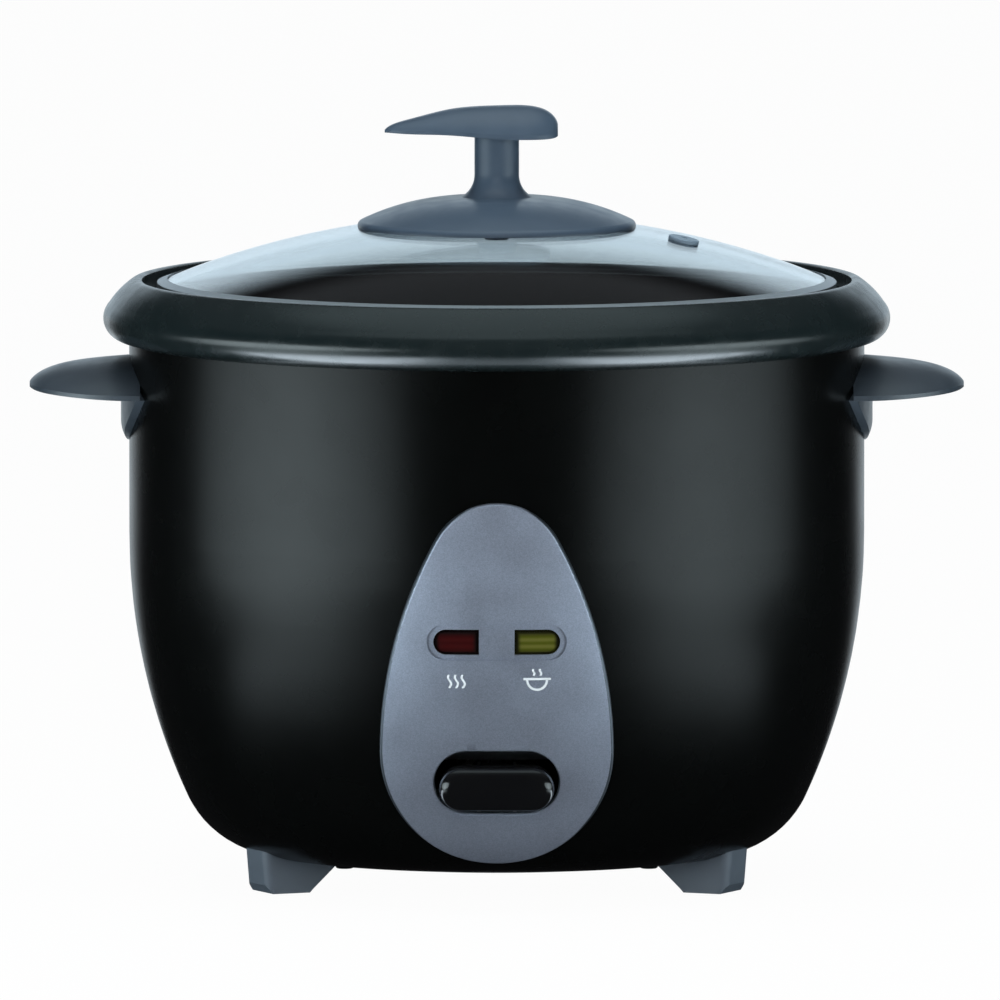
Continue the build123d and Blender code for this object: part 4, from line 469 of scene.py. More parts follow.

# %% [markdown]
# ## The control panel's lacquer
# The panel is plastic under a metallic lacquer: fine flakes that each lean their own way. A Voronoi cell
# noise gives every flake its own grey and tilt, and a clear coat lies over them. The sides of the panel and
# of its windows get a painted shade, a dark colour in place of the lacquer, so that they stay dark instead
# of catching highlights. They are found by how far the surface leans to the left or right.

# %% Panel lacquer
FLAKE_CELLS = 3500.0
FLAKE_DEPTH = 4e-6
FLAKE_GREYS = ((0.375, 0.415, 0.520), (0.500, 0.540, 0.660))
LACQUER_CELLS = 90.0
LACQUER_GLOSS = (0.42, 0.50)
SIDE_SHADE_LEAN = (0.34, 0.50)
# The dark colour painted as shade on the sides of the panel and of its windows.
PANEL_SIDE_SHADE = (0.070, 0.082, 0.098, 1.0)

panel_silver, tree, shader, place = new_finish(
    "panel_silver", Metallic=0.76, Coat_Weight=0.15, Coat_Roughness=0.25)
flakes = tree.nodes.new("ShaderNodeTexVoronoi")
flakes.inputs["Scale"].default_value = FLAKE_CELLS
tree.links.new(place, flakes.inputs["Vector"])
flake_grey = tree.nodes.new("ShaderNodeSeparateColor")
tree.links.new(flakes.outputs["Color"], flake_grey.inputs["Color"])
grey = flake_grey.outputs["Red"]
lacquer = tint(tree, grey, *FLAKE_GREYS)
facing = tree.nodes.new("ShaderNodeSeparateXYZ")
tree.links.new(tree.nodes.new("ShaderNodeTexCoord").outputs["Normal"], facing.inputs["Vector"])
lean = combine(tree, "ABSOLUTE", facing.outputs["X"], 0.0)
# Painted shade: where the surface leans to the left or right, the dark colour replaces the lacquer.
painted_side_shade = soft_step(tree, lean, *SIDE_SHADE_LEAN)
tree.links.new(mix_colours(tree, painted_side_shade, lacquer, PANEL_SIDE_SHADE), shader.inputs["Base Color"])
wander = noise_of(tree, place, LACQUER_CELLS)
tree.links.new(spread(tree, wander, *LACQUER_GLOSS), shader.inputs["Roughness"])
raise_grain(tree, shader, grey, FLAKE_DEPTH)
print("panel lacquer made")

# %% [markdown]
# ## Lid and lamp glass
# The lid is clear tempered glass with the faint green-blue that shows at its edge. The lamps behind the
# lenses are small glass tubes.

# %% Clear finishes
DEEPER_SHARE = 0.97
WAVE_DEPTH = 1e-6


def clear_finish(name, colour, rough, cells, **sockets):
    """Clear glass with a faint waviness."""
    material, tree, shader, place = new_finish(name, **sockets)
    wave = noise_of(tree, place, cells)
    deeper = tuple(DEEPER_SHARE * part for part in colour)
    tree.links.new(tint(tree, wave, colour, deeper), shader.inputs["Base Color"])
    tree.links.new(spread(tree, wave, *rough), shader.inputs["Roughness"])
    raise_grain(tree, shader, wave, WAVE_DEPTH)
    return material


lid_glass = clear_finish(
    "lid_glass", (0.92, 0.98, 1.0), rough=(0.0, 0.02), cells=40.0, Transmission_Weight=1.0, IOR=1.5)
lamp_glass = clear_finish(
    "lamp_glass", (0.95, 0.90, 0.80), rough=(0.02, 0.06), cells=200.0, Transmission_Weight=1.0, IOR=1.47)
print("lid and lamp glass made")

# %% [markdown]
# ## The two lenses
# Each lens is a cap of tinted plastic over an unlit lamp. Its colour carries painted light and shade: a pale
# painted highlight in a patch at its middle, over the lamp and set a little low, and painted shade, almost
# black, all round, where the deep walls would lose the light. Ridges moulded on its inner face are raised as
# bump and draw faint painted streaks of light across the patch.

# %% Lens plastics
LENS_MIDDLE = 0.0137
# The painted highlight sits a little below the lens's middle, so the painted shadow under its upper edge is
# wider.
HIGHLIGHT_LEVEL = 0.0929
HIGHLIGHT_FADE = {"X": (0.0068, 0.0052), "Z": (0.0036, 0.0019)}
RIDGE_PITCH = 0.0023
RIDGE_DEPTH = 1e-5
LENS_CELLS = 300.0
LENS_GLOSS = (0.16, 0.22)


def lens_finish(name, side, shade_colour, highlight_colour, streak_colour):
    """Tinted plastic with painted light: the colours of its painted shade all round, of the painted
    highlight over the lamp and of the painted streaks of the ridges there.
    """
    material, tree, shader, place = new_finish(name, Specular_IOR_Level=0.2)
    parts = tree.nodes.new("ShaderNodeSeparateXYZ")
    tree.links.new(place, parts.inputs["Vector"])
    offsets = {
        "X": combine(tree, "SUBTRACT", parts.outputs["X"], side * LENS_MIDDLE),
        "Z": combine(tree, "SUBTRACT", parts.outputs["Z"], HIGHLIGHT_LEVEL)}
    shares = []
    for axis, span in HIGHLIGHT_FADE.items():
        shares.append(soft_step(tree, combine(tree, "ABSOLUTE", offsets[axis], 0.0), *span))
    # Painted highlight share: 1 on the patch over the lamp, 0 on the painted shade all round.
    painted_highlight_share = combine(tree, "MULTIPLY", *shares)
    turn = combine(tree, "MULTIPLY", offsets["Z"], 2.0 * math.pi / RIDGE_PITCH)
    ridges = spread(tree, combine(tree, "COSINE", turn, 0.0), 1.0, 0.0, (-1.0, 1.0))
    painted_highlight = tint(tree, ridges, highlight_colour, streak_colour)
    tree.links.new(mix_colours(tree, painted_highlight_share, (*shade_colour, 1.0), painted_highlight), shader.inputs["Base Color"])
    wander = noise_of(tree, place, LENS_CELLS)
    tree.links.new(spread(tree, wander, *LENS_GLOSS), shader.inputs["Roughness"])
    raise_grain(tree, shader, ridges, RIDGE_DEPTH)
    return material


# Each lens gets its painted shade, its painted highlight and the painted streaks of its ridges.
lens_red = lens_finish(
    "lens_red", side=-1,
    shade_colour=(0.008, 0.004, 0.004), highlight_colour=(0.030, 0.003, 0.003), streak_colour=(0.040, 0.004, 0.004))
lens_amber = lens_finish(
    "lens_amber", side=1,
    shade_colour=(0.014, 0.014, 0.004), highlight_colour=(0.060, 0.066, 0.006), streak_colour=(0.110, 0.108, 0.020))
print("lens plastics made")

# %% [markdown]
# ## Metals
# Turned and spun pieces carry rings about the axis: noise on the distance from the axis draws them.
# Sheet, wire and screws carry a finer, plainer grain.

# %% Metals
RING_DETAIL = 6.0
SHEET_GRAIN = (1.0, 8.0, 8.0)


def spun(name, dark, light, rough, rings, depth, **sockets):
    """Metal turned about the cooker's axis."""
    material, tree, shader, place = new_finish(name, Metallic=1.0, **sockets)
    coordinate = turned_coordinate(tree, place)[0]
    lines = noise_of(tree, coordinate, rings, detail=RING_DETAIL)
    tree.links.new(tint(tree, lines, dark, light), shader.inputs["Base Color"])
    tree.links.new(spread(tree, lines, *rough), shader.inputs["Roughness"])
    raise_grain(tree, shader, lines, depth)
    return material


band_steel = spun(
    "band_steel", (0.66, 0.70, 0.74), (0.80, 0.84, 0.88), rough=(0.42, 0.52), rings=1800.0, depth=3e-6)
cast_aluminium = spun(
    "cast_aluminium", (0.50, 0.51, 0.52), (0.66, 0.67, 0.68), rough=(0.34, 0.48), rings=900.0, depth=2e-5)
liner_steel = spun(
    "liner_steel", (0.48, 0.49, 0.50), (0.62, 0.63, 0.64), rough=(0.28, 0.40), rings=700.0, depth=8e-6)
plated_steel = speckled(
    "plated_steel", (0.44, 0.45, 0.46), (0.58, 0.59, 0.60),
    rough=(0.26, 0.40), cells=220.0, grain_cells=1200.0, grain_depth=6e-6,
    stretch=SHEET_GRAIN, Metallic=1.0)
screw_steel = speckled(
    "screw_steel", (0.10, 0.10, 0.11), (0.17, 0.17, 0.18),
    rough=(0.26, 0.38), cells=500.0, grain_cells=2400.0, grain_depth=4e-6, Metallic=1.0)
spring_steel = speckled(
    "spring_steel", (0.36, 0.37, 0.39), (0.48, 0.49, 0.51),
    rough=(0.22, 0.34), cells=600.0, grain_cells=2400.0, grain_depth=4e-6, Metallic=1.0)
element_steel = speckled(
    "element_steel", (0.20, 0.17, 0.14), (0.34, 0.31, 0.28),
    rough=(0.38, 0.55), cells=90.0, grain_cells=1200.0, grain_depth=8e-6, Metallic=1.0)
fuse_metal = speckled(
    "fuse_metal", (0.50, 0.46, 0.36), (0.64, 0.60, 0.48),
    rough=(0.22, 0.34), cells=400.0, grain_cells=1800.0, grain_depth=4e-6, Metallic=1.0)
blade_brass = speckled(
    "blade_brass", (0.62, 0.48, 0.22), (0.76, 0.62, 0.32),
    rough=(0.20, 0.32), cells=400.0, grain_cells=1800.0, grain_depth=4e-6, Metallic=1.0)
ferrite_grey = speckled(
    "ferrite_grey", (0.075, 0.075, 0.080), (0.13, 0.13, 0.135),
    rough=(0.55, 0.70), cells=900.0, grain_cells=3000.0, grain_depth=2e-5)
print("metals made")

# %% [markdown]
# ## The cooking pot
# The pot is spun aluminium outside, with a dark non-stick coat inside. One material does both. The wall
# runs into the floor by a round corner, so a point is coated when its reach, outwards and downwards from
# the corner's centre, is less than that of the middle of the sheet.

# %% Pot finish
POT_RADIUS = 0.1115
POT_CORNER = 0.0280
POT_SHEET = 0.0015
POT_CELLS = 900.0
POT_GRAIN = 6e-6
POT_GLOSS = (0.30, 0.42)
POT_METAL = ((0.58, 0.59, 0.60), (0.72, 0.73, 0.74))
POT_COAT = ((0.006, 0.007, 0.007), (0.014, 0.015, 0.015))

pot_coated, tree, shader, place = new_finish("pot_coated", Specular_IOR_Level=0.15)
rings, from_axis, height = turned_coordinate(tree, place)
lines = noise_of(tree, rings, POT_CELLS, detail=RING_DETAIL)
corner_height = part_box("inner_pot")[0][2] + POT_CORNER
outwards = combine(tree, "SUBTRACT", from_axis, POT_RADIUS - POT_CORNER)
downwards = combine(tree, "SUBTRACT", corner_height, height)
reach_parts = tree.nodes.new("ShaderNodeCombineXYZ")
tree.links.new(combine(tree, "MAXIMUM", outwards, 0.0), reach_parts.inputs["X"])
tree.links.new(combine(tree, "MAXIMUM", downwards, 0.0), reach_parts.inputs["Y"])
reach = tree.nodes.new("ShaderNodeVectorMath")
reach.operation = "LENGTH"
tree.links.new(reach_parts.outputs["Vector"], reach.inputs[0])
coated = combine(tree, "LESS_THAN", reach.outputs["Value"], POT_CORNER - POT_SHEET / 2)
bare_metal = tint(tree, lines, *POT_METAL)
coat_grey = tint(tree, noise_of(tree, place, POT_CELLS), *POT_COAT)
tree.links.new(mix_colours(tree, coated, bare_metal, coat_grey), shader.inputs["Base Color"])
tree.links.new(spread(tree, coated, 1.0, 0.0, (0.0, 1.0)), shader.inputs["Metallic"])
tree.links.new(spread(tree, lines, *POT_GLOSS), shader.inputs["Roughness"])
raise_grain(tree, shader, lines, POT_GRAIN)
print("pot finish made")

# %% [markdown]
# ## Small inner finishes
# White heat-proof plastic, black switch plastic, silicone and the soft insulation of the leads.

# %% Inner plastics and rubbers
holder_white = speckled(
    "holder_white", (0.66, 0.65, 0.61), (0.74, 0.73, 0.69),
    rough=(0.50, 0.60), cells=200.0, grain_cells=2000.0, grain_depth=1e-5)
switch_plastic = speckled(
    "switch_plastic", (0.022, 0.022, 0.024), (0.032, 0.032, 0.034),
    rough=(0.45, 0.55), cells=200.0, grain_cells=2400.0, grain_depth=1.2e-5)
lead_insulation = speckled(
    "lead_insulation", (0.66, 0.64, 0.60), (0.76, 0.74, 0.70),
    rough=(0.55, 0.70), cells=300.0, grain_cells=2400.0, grain_depth=1e-5)
seal_rubber = speckled(
    "seal_rubber", (0.24, 0.33, 0.43), (0.28, 0.38, 0.48),
    rough=(0.45, 0.60), cells=300.0, grain_cells=2400.0, grain_depth=1.6e-5)
print("inner finishes made")

# %% [markdown]
# ## Each node gets its finish
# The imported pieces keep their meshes. Only their material slots are filled.

# %% Assign finishes
FINISHES = {
    shell_enamel: ["outer_shell"],
    ring_plastic: ["top_ring"],
    handle_plastic: ["left_handle", "right_handle"],
    foot_plastic: ["foot_front_right", "foot_rear_right", "foot_rear_left", "foot_front_left"],
    panel_silver: ["control_panel"],
    lens_red: ["cook_lens"],
    lens_amber: ["warm_lens"],
    lamp_glass: ["cook_lamp", "warm_lamp"],
    key_black: ["lever_paddle"],
    holder_white: ["lamp_holder"],
    switch_plastic: ["micro_switch", "switch_plunger"],
    plated_steel: [
        "base_plate", "lever_arm", "lever_bracket", "support_bridge", "sensor_guide", "panel_nuts",
        "fuse_clip", "knob_washer", "magnet_holder", "rod_collar"],
    liner_steel: ["inner_liner"],
    spring_steel: ["sensor_spring", "magnet_spring"],
    screw_steel: [
        "base_screws", "foot_screws", "handle_screws", "bridge_screws", "plate_screws", "switch_screws",
        "inlet_screws", "knob_screw", "lever_pivot_pin"],
    cast_aluminium: ["heating_plate", "sensor_cap"],
    pot_coated: ["inner_pot"],
    element_steel: ["heating_element"],
    ferrite_grey: ["ferrite_core", "magnet_ring"],
    fuse_metal: ["thermal_fuse"],
    inlet_plastic: ["power_inlet"],
    blade_brass: ["inlet_blades"],
    lead_insulation: ["supply_lead", "heater_lead", "return_lead"],
    lid_glass: ["lid_glass"],
    band_steel: ["lid_band"],
    knob_plastic: ["knob_base", "knob_grip"],
    seal_rubber: ["vent_grommet", "knob_gasket"],
}
for finish, names in FINISHES.items():
    for name in names:
        nodes[name].material_slots[0].material = finish
dressed = {name for names in FINISHES.values() for name in names}
print("dressed", len(dressed), "of", len(nodes), "nodes; bare:", sorted(set(nodes) - dressed))

# %% [markdown]
# ## Shaping new pieces
# A few pieces are better made here than in the solids: the rim, because its long highlights show every
# uneven facet, the screws with their cross recess, the springs, the printed signs and the level marks in the
# pot. They are shaped in edit mode, as by hand, so the first helper does the selecting: by the place of each
# point.

# %% Helpers for modelling
MILLIMETRE = 0.001
MERGE_DISTANCE = 1e-6
SMOOTH_ANGLE = math.radians(35.0)


def pick(piece, test):
    """Edit mode, with only the points selected whose place passes a test."""
    bpy.ops.object.mode_set(mode="EDIT")
    bpy.ops.mesh.select_mode(type="VERT")
    bpy.ops.mesh.select_all(action="DESELECT")
    bpy.ops.object.mode_set(mode="OBJECT")
    for point in piece.data.vertices:
        point.select = test(point.co)
    bpy.ops.object.mode_set(mode="EDIT")


def settle(piece, name, finish, body):
    """Closes a piece's seams, names it, gives it its finish and, with a body, lets it ride there."""
    bpy.ops.object.mode_set(mode="EDIT")
    bpy.ops.mesh.select_all(action="SELECT")
    bpy.ops.mesh.remove_doubles(threshold=MERGE_DISTANCE)
    bpy.ops.mesh.normals_make_consistent(inside=False)
    bpy.ops.object.mode_set(mode="OBJECT")
    bpy.ops.object.shade_smooth_by_angle(angle=SMOOTH_ANGLE)
    piece.name = name
    piece.data.materials.clear()
    piece.data.materials.append(finish)
    if body:
        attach(piece, body)


def join(pieces):
    """Several pieces as one mesh."""
    bpy.ops.object.select_all(action="DESELECT")
    for piece in pieces:
        piece.select_set(True)
    bpy.context.view_layer.objects.active = pieces[0]
    bpy.ops.object.join()
    return pieces[0]


print("modelling helpers ready")

# %% [markdown]
# ## The rim, turned as on a lathe
# The moulded rim has a leaning bead outside, a round lip about the lid and a ledge that carries the pot.
# One point is drawn on, step by step, along the rim's outline, and the finished line is spun about the
# axis. Even steps all round give clean highlights. The outline is given from the shell's radius and the
# lip's top, which come from the frame.

# %% Rim outline
RIM_SKIRT = (0.2, -21.1)
RIM_CHIN = (4.3, -20.0)
RIM_CREST = (8.8, -13.3)
RIM_CHEEK = (6.9, -8.4)
RIM_BROW = (3.0, -3.7)
RIM_LIP = ((-0.9, -0.54), (-2.6, 0.0), (-4.3, -0.54))
RIM_INSIDE = (
    (-4.6, -7.0), (-12.2, -7.0), (-12.2, -9.0), (-10.5, -9.0), (-10.5, -18.0), (-9.0, -18.0), (-9.0, -9.0),
    (-1.8, -9.0), (-1.8, -13.5), (0.2, -13.5), RIM_SKIRT)
RIM_ARC_STEPS = 14

shell_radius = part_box("outer_shell")[1][0]
lip_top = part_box("top_ring")[1][2]


def rim_place(offset):
    """A point of the rim's outline, as radius and height."""
    return Vector((shell_radius + offset[0] * MILLIMETRE, lip_top + offset[1] * MILLIMETRE))


def arc_through(start, middle, end):
    """Points along the circle through three points, from after the first up to the last."""
    first, second = middle - start, end - start
    twist = 2.0 * (first.x * second.y - first.y * second.x)
    centre = start + Vector((
        second.y * first.length_squared - first.y * second.length_squared,
        first.x * second.length_squared - second.x * first.length_squared)) / twist
    spoke = start - centre
    sweep = math.atan2(end.y - centre.y, end.x - centre.x) - math.atan2(spoke.y, spoke.x)
    sweep = (sweep + math.pi) % (2.0 * math.pi) - math.pi
    points = []
    for step in range(1, RIM_ARC_STEPS + 1):
        angle = math.atan2(spoke.y, spoke.x) + sweep * step / RIM_ARC_STEPS
        points.append(centre + spoke.length * Vector((math.cos(angle), math.sin(angle))))
    return points


bead = arc_through(rim_place(RIM_CHIN), rim_place(RIM_CREST), rim_place(RIM_CHEEK))
slope = arc_through(rim_place(RIM_CHEEK), rim_place(RIM_BROW), rim_place(RIM_LIP[0]))
lip = arc_through(*(rim_place(offset) for offset in RIM_LIP))
inside_line = [rim_place(offset) for offset in RIM_INSIDE]
outline = [rim_place(RIM_SKIRT), rim_place(RIM_CHIN), *bead, *slope, *lip, *inside_line]
print("rim outline of", len(outline), "points")

# %% Turn the rim
RIM_STEPS = 240

bpy.ops.object.select_all(action="DESELECT")
bpy.ops.mesh.primitive_plane_add(size=MILLIMETRE, location=(outline[0].x, 0.0, outline[0].y))
rim = bpy.context.object
bpy.ops.object.transform_apply(location=True, rotation=True, scale=True)
bpy.ops.object.mode_set(mode="EDIT")
bpy.ops.mesh.select_all(action="SELECT")
bpy.ops.mesh.merge(type="CENTER")
for here, there in zip(outline, outline[1:]):
    step = there - here
    bpy.ops.mesh.extrude_region_move(TRANSFORM_OT_translate={"value": (step.x, 0.0, step.y)})
bpy.ops.mesh.select_all(action="SELECT")
bpy.ops.mesh.remove_doubles(threshold=MERGE_DISTANCE)
bpy.ops.mesh.spin(steps=RIM_STEPS, angle=2.0 * math.pi, center=(0.0, 0.0, 0.0), axis=(0.0, 0.0, 1.0))
bpy.ops.object.mode_set(mode="OBJECT")
settle(rim, "turned_rim", ring_plastic, "body")
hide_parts("top_ring")
print("rim", len(rim.data.polygons), "faces")

# %% [markdown]
# ## Pan-head screws
# The screws that show under the base, in the feet and beside the power inlet have a domed head with a
# cross recess. One is modelled from a cylinder: the seat side is inset and drawn out into the shank, the
# rim of the head is rounded by a bevel, and two bars are cut from the head. Copies then go to their
# seats.

# %% Screw model
HEAD_RADIUS = 3.2 * MILLIMETRE
HEAD_HEIGHT = 2.2 * MILLIMETRE
HEAD_ROUND = 1.0 * MILLIMETRE
HEAD_ROUND_STEPS = 6
SHANK_RADIUS = 1.75 * MILLIMETRE
CROSS_LENGTH = 3.6 * MILLIMETRE
CROSS_WIDTH = 0.8 * MILLIMETRE
CROSS_DEPTH = 1.1 * MILLIMETRE
HEAD_SIDES = 40


def cut_bar(piece, size):
    """Cuts a bar out of the top of the head."""
    bpy.ops.object.select_all(action="DESELECT")
    bpy.ops.mesh.primitive_cube_add(size=1.0, location=(0.0, 0.0, -HEAD_HEIGHT))
    bar = bpy.context.object
    bar.scale = size
    bpy.ops.object.transform_apply(location=True, rotation=True, scale=True)
    bpy.context.view_layer.objects.active = piece
    cut = piece.modifiers.new("cross", "BOOLEAN")
    cut.operation = "DIFFERENCE"
    cut.object = bar
    bpy.ops.object.modifier_apply(modifier=cut.name)
    bpy.data.objects.remove(bar)


def pan_screw(reach):
    """A screw at the origin: its head below, its shank upwards."""
    bpy.ops.object.select_all(action="DESELECT")
    bpy.ops.mesh.primitive_cylinder_add(
        vertices=HEAD_SIDES, radius=HEAD_RADIUS, depth=HEAD_HEIGHT, location=(0.0, 0.0, -HEAD_HEIGHT / 2))
    piece = bpy.context.object
    bpy.ops.object.transform_apply(location=True, rotation=True, scale=True)
    pick(piece, lambda place: place.z > -HEAD_HEIGHT / 2)
    bpy.ops.mesh.inset(thickness=HEAD_RADIUS - SHANK_RADIUS)
    bpy.ops.mesh.extrude_region_move(TRANSFORM_OT_translate={"value": (0.0, 0.0, reach)})
    bpy.ops.object.mode_set(mode="OBJECT")
    pick(piece, lambda place: place.z < -HEAD_HEIGHT / 2)
    bpy.ops.mesh.bevel(offset=HEAD_ROUND, segments=HEAD_ROUND_STEPS, affect="EDGES")
    bpy.ops.object.mode_set(mode="OBJECT")
    cut_bar(piece, (CROSS_LENGTH, CROSS_WIDTH, 2 * CROSS_DEPTH))
    cut_bar(piece, (CROSS_WIDTH, CROSS_LENGTH, 2 * CROSS_DEPTH))
    return piece


print("screw model ready")

# %% Screw seats
SEAT_ANGLES = (25, 155, 205, 335)
BASE_CIRCLE = 57.0 * MILLIMETRE
BASE_SEAT_LEVEL = 9.0 * MILLIMETRE
FOOT_CIRCLE = 81.5 * MILLIMETRE
FOOT_SEAT_LEVEL = 5.0 * MILLIMETRE
BRIDGE_X = 41.0 * MILLIMETRE
BRIDGE_Y = 8.0 * MILLIMETRE
INLET_SCREW_X = 19.0 * MILLIMETRE
INLET_HEIGHT = 38.0 * MILLIMETRE


def round_axis(circle, level):
    """Seats at the four seat angles round the cooker's axis."""
    turns = [math.radians(angle) for angle in SEAT_ANGLES]
    return [(circle * math.cos(turn), circle * math.sin(turn), level) for turn in turns]


inlet_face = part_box("power_inlet")[1][1]
base_seats = round_axis(BASE_CIRCLE, BASE_SEAT_LEVEL)
foot_seats = round_axis(FOOT_CIRCLE, FOOT_SEAT_LEVEL)
bridge_seats = [(x, y, BASE_SEAT_LEVEL) for x in (-BRIDGE_X, BRIDGE_X) for y in (-BRIDGE_Y, BRIDGE_Y)]
inlet_seats = [(x, inlet_face, INLET_HEIGHT) for x in (-INLET_SCREW_X, INLET_SCREW_X)]
print("screw seats", len(base_seats + foot_seats + bridge_seats + inlet_seats))

# %% Fit the screws
SCREW_TURN = 37.0
BASE_REACH = 6.5 * MILLIMETRE
BRIDGE_REACH = 6.7 * MILLIMETRE
FOOT_REACH = 11.5 * MILLIMETRE
INLET_REACH = 15.2 * MILLIMETRE


def fit_screws(node, seats, reach, lean=0.0):
    """Screws at their seats, in place of a node. A lean tips them about X. Upright ones are each turned."""
    model = pan_screw(reach)
    copies = []
    for count, seat in enumerate(seats):
        bpy.ops.object.select_all(action="DESELECT")
        model.select_set(True)
        bpy.context.view_layer.objects.active = model
        bpy.ops.object.duplicate()
        copy = bpy.context.object
        copy.rotation_euler = (lean, 0.0, 0.0 if lean else math.radians(SCREW_TURN * count))
        copy.location = seat
        bpy.ops.object.transform_apply(location=True, rotation=True, scale=True)
        copies.append(copy)
    bpy.data.objects.remove(model)
    piece = join(copies)
    settle(piece, "crossed_" + node, screw_steel, "body")
    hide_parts(node)
    print(node, len(seats), "screws")


fit_screws("base_screws", base_seats, BASE_REACH)
fit_screws("bridge_screws", bridge_seats, BRIDGE_REACH)
fit_screws("foot_screws", foot_seats, FOOT_REACH)
fit_screws("inlet_screws", inlet_seats, INLET_REACH, lean=math.pi / 2)

# %% [markdown]
# ## Wound springs
# The sensor's spring shortens when a pot presses the sensor down, and the magnet's spring stretches when
# the magnet drops. Each is wound from a ring of wire by a Screw modifier, and its two ends are closed.

# %% Springs
WIRE_SIDES = 14
TURN_STEPS = 48
SPRING_TURNS = 5
SENSOR_WIRE = 1.2 * MILLIMETRE
MAGNET_WIRE = 0.7 * MILLIMETRE


def wind_spring(node, wire):
    """A coil in a node's own box."""
    low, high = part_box(node)
    radius = high[0] - wire / 2
    foot = low[2] + wire / 2
    rise = high[2] - low[2] - wire
    bpy.ops.object.select_all(action="DESELECT")
    bpy.ops.mesh.primitive_circle_add(
        vertices=WIRE_SIDES, radius=wire / 2, location=(radius, 0.0, foot), rotation=(math.pi / 2, 0.0, 0.0))
    coil = bpy.context.object
    bpy.ops.object.transform_apply(location=True, rotation=True, scale=True)
    wind = coil.modifiers.new("wind", "SCREW")
    wind.axis = "Z"
    wind.iterations = SPRING_TURNS
    wind.screw_offset = rise / SPRING_TURNS
    wind.steps = TURN_STEPS
    wind.render_steps = TURN_STEPS
    bpy.ops.object.modifier_apply(modifier=wind.name)
    bpy.ops.object.mode_set(mode="EDIT")
    bpy.ops.mesh.select_all(action="SELECT")
    bpy.ops.mesh.fill_holes(sides=0)
    bpy.ops.object.mode_set(mode="OBJECT")
    settle(coil, "wound_" + node, spring_steel, None)
    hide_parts(node)
    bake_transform(coil)
    print(node, "wound,", len(coil.data.polygons), "faces")


wind_spring("sensor_spring", SENSOR_WIRE)
wind_spring("magnet_spring", MAGNET_WIRE)

# %% [markdown]
# ## Signs on the panel
# Under each lens a small white sign is printed: three wavy strokes of heat for cooking, and a bowl with
# steam for keeping warm. Each stroke is a short ribbon, drawn on upwards by its top edge, and the bowl is
# a ribbon spun through half a turn. They are made flat in front of the panel, laid on its curved face by
# a Shrinkwrap, and given the thickness of print.

# %% Sign strokes
SIGN_FRONT = -0.150
SIGN_LOW = 77.6 * MILLIMETRE
SIGN_HEIGHT = 4.6 * MILLIMETRE
STROKE_WIDTH = 0.75 * MILLIMETRE
WAVE_STEPS = 14
WAVE_SHARE = 0.12
PRINT_THICKNESS = 0.05 * MILLIMETRE
COOK_SIGN_X = -13.6 * MILLIMETRE
WARM_SIGN_X = 13.6 * MILLIMETRE
STROKE_GAP = 2.3 * MILLIMETRE
BOWL_RADIUS = 3.7 * MILLIMETRE
BOWL_LEVEL = SIGN_LOW + 2.8 * MILLIMETRE
BOWL_STEPS = 24
RIM_BAR_WIDTH = 2.5 * BOWL_RADIUS
STEAM_LOW = BOWL_LEVEL + 2 * STROKE_WIDTH
STEAM_HEIGHT = 2.3 * MILLIMETRE
RIM_BAR_CUTS = 15


def bar(x, low, width, height):
    """A flat upright bar in front of the panel, facing forwards."""
    bpy.ops.object.select_all(action="DESELECT")
    bpy.ops.mesh.primitive_plane_add(
        size=1.0, location=(x, SIGN_FRONT, low + height / 2), rotation=(math.pi / 2, 0.0, 0.0))
    piece = bpy.context.object
    piece.scale = (width, height, 1.0)
    bpy.ops.object.transform_apply(location=True, rotation=True, scale=True)
    return piece


def wavy_stroke(x, low, height):
    """A ribbon that waves once from side to side on its way up."""
    rise = height / WAVE_STEPS
    piece = bar(x, low, STROKE_WIDTH, rise)
    pick(piece, lambda place: place.z > low + rise / 2)
    for step in range(1, WAVE_STEPS):
        sway = math.sin(2 * math.pi * step / WAVE_STEPS) - math.sin(2 * math.pi * (step - 1) / WAVE_STEPS)
        shift = (sway * WAVE_SHARE * height, 0.0, rise)
        bpy.ops.mesh.extrude_region_move(TRANSFORM_OT_translate={"value": shift})
    bpy.ops.object.mode_set(mode="OBJECT")
    return piece


def bowl_stroke(x, level):
    """A half ring, spun from one upright edge."""
    half = STROKE_WIDTH / 2
    piece = bar(x + BOWL_RADIUS - half, level, STROKE_WIDTH, half)
    pick(piece, lambda place: place.z < level + half / 2)
    bpy.ops.mesh.spin(steps=BOWL_STEPS, angle=-math.pi, center=(x, SIGN_FRONT, level), axis=(0.0, 1.0, 0.0))
    bpy.ops.object.mode_set(mode="OBJECT")
    return piece


print("sign strokes ready")

# %% Print the signs
print_white = speckled(
    "print_white", (0.70, 0.72, 0.75), (0.80, 0.82, 0.84),
    rough=(0.45, 0.60), cells=900.0, grain_cells=4000.0, grain_depth=2e-6)


def lay_on_panel(piece):
    """Drops a flat sign on the panel's face and thickens it."""
    bpy.ops.object.select_all(action="DESELECT")
    piece.select_set(True)
    bpy.context.view_layer.objects.active = piece
    lay = piece.modifiers.new("lay", "SHRINKWRAP")
    lay.wrap_method = "PROJECT"
    lay.use_project_y = True
    lay.use_negative_direction = False
    lay.use_positive_direction = True
    lay.target = nodes["control_panel"]
    bpy.ops.object.modifier_apply(modifier=lay.name)
    thicken = piece.modifiers.new("thicken", "SOLIDIFY")
    thicken.thickness = PRINT_THICKNESS
    thicken.offset = 1.0
    bpy.ops.object.modifier_apply(modifier=thicken.name)


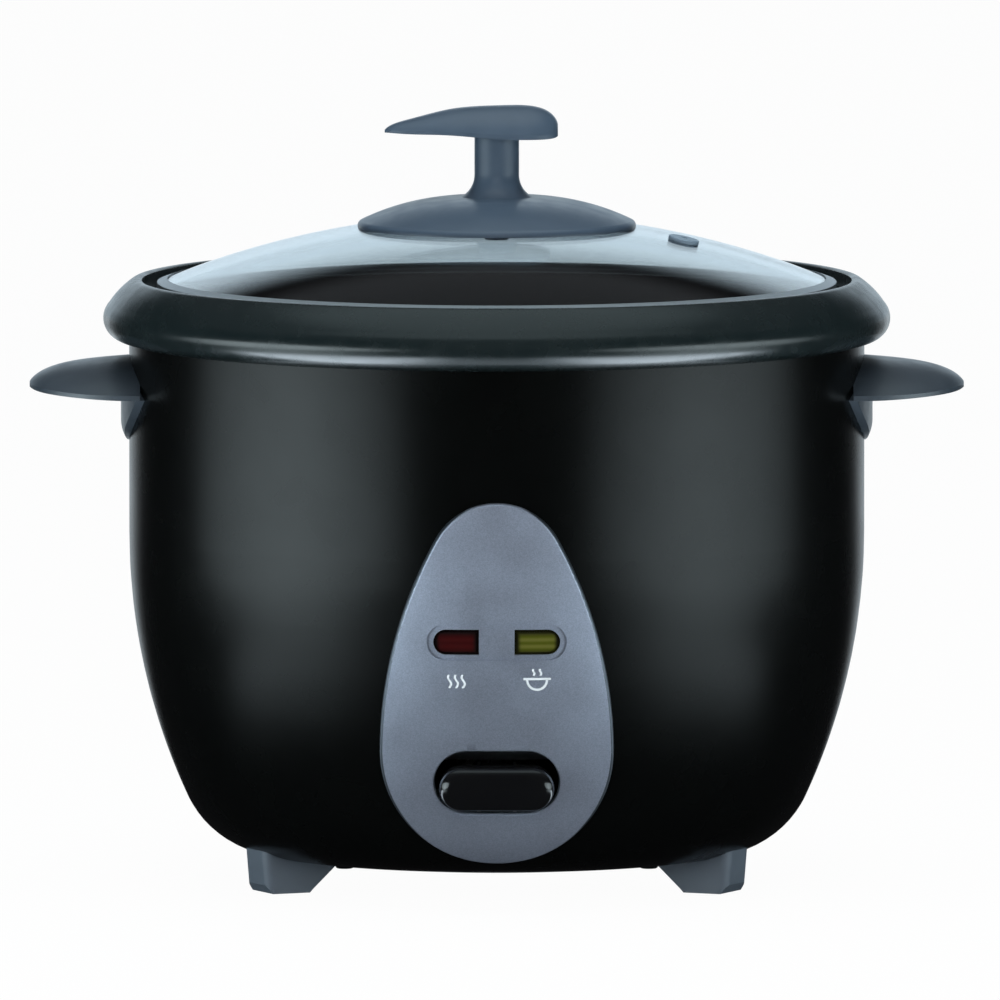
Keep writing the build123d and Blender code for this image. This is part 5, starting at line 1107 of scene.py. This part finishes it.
heat = join([wavy_stroke(COOK_SIGN_X + side * STROKE_GAP, SIGN_LOW, SIGN_HEIGHT) for side in (-1, 0, 1)])
lay_on_panel(heat)
settle(heat, "cook_sign", print_white, "body")
steam = [wavy_stroke(WARM_SIGN_X + side * STROKE_GAP / 2, STEAM_LOW, STEAM_HEIGHT) for side in (-1, 1)]
rim_bar = bar(WARM_SIGN_X, BOWL_LEVEL, RIM_BAR_WIDTH, STROKE_WIDTH)
bpy.ops.object.mode_set(mode="EDIT")
bpy.ops.mesh.select_all(action="SELECT")
bpy.ops.mesh.subdivide(number_cuts=RIM_BAR_CUTS)
bpy.ops.object.mode_set(mode="OBJECT")
warm_bowl = join([rim_bar, bowl_stroke(WARM_SIGN_X, BOWL_LEVEL), *steam])
lay_on_panel(warm_bowl)
settle(warm_bowl, "warm_sign", print_white, "body")
print("signs printed")

# %% [markdown]
# ## Level marks in the pot
# Inside the pot, short ribs show how far to fill the water. Each starts as a small upright plane on the
# wall and is spun a few degrees about the axis.

# %% Level marks
MARK_SECTION = (0.5 * MILLIMETRE, 0.9 * MILLIMETRE)
MARK_SPACING = 9.0 * MILLIMETRE
MARK_FIRST = 0.100
MARK_COUNT = 9
MARK_STEPS = 8
MARK_TURN = math.radians(60.0)
MARK_SHORT = math.radians(4.0)
MARK_LONG = math.radians(8.0)
POT_WALL_RADIUS = 0.110

marks = []
for count in range(MARK_COUNT):
    bpy.ops.object.select_all(action="DESELECT")
    level = MARK_FIRST + count * MARK_SPACING
    bpy.ops.mesh.primitive_plane_add(
        size=1.0, location=(POT_WALL_RADIUS, 0.0, level), rotation=(math.pi / 2, 0.0, 0.0))
    mark = bpy.context.object
    mark.scale = (*MARK_SECTION, 1.0)
    bpy.ops.object.transform_apply(location=True, rotation=True, scale=True)
    bpy.ops.object.mode_set(mode="EDIT")
    bpy.ops.mesh.select_all(action="SELECT")
    width = MARK_SHORT if count % 2 else MARK_LONG
    bpy.ops.mesh.spin(steps=MARK_STEPS, angle=width, center=(0.0, 0.0, 0.0), axis=(0.0, 0.0, 1.0))
    bpy.ops.object.mode_set(mode="OBJECT")
    mark.rotation_euler = (0.0, 0.0, MARK_TURN)
    bpy.ops.object.transform_apply(location=True, rotation=True, scale=True)
    marks.append(mark)
level_marks = join(marks)
settle(level_marks, "level_marks", pot_coated, "pot")
print(MARK_COUNT, "level marks")

# %% [markdown]
# ## Sizes and the end
# The box of everything shown is printed.

# %% Finish
low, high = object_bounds()
print("visual box", low, high)
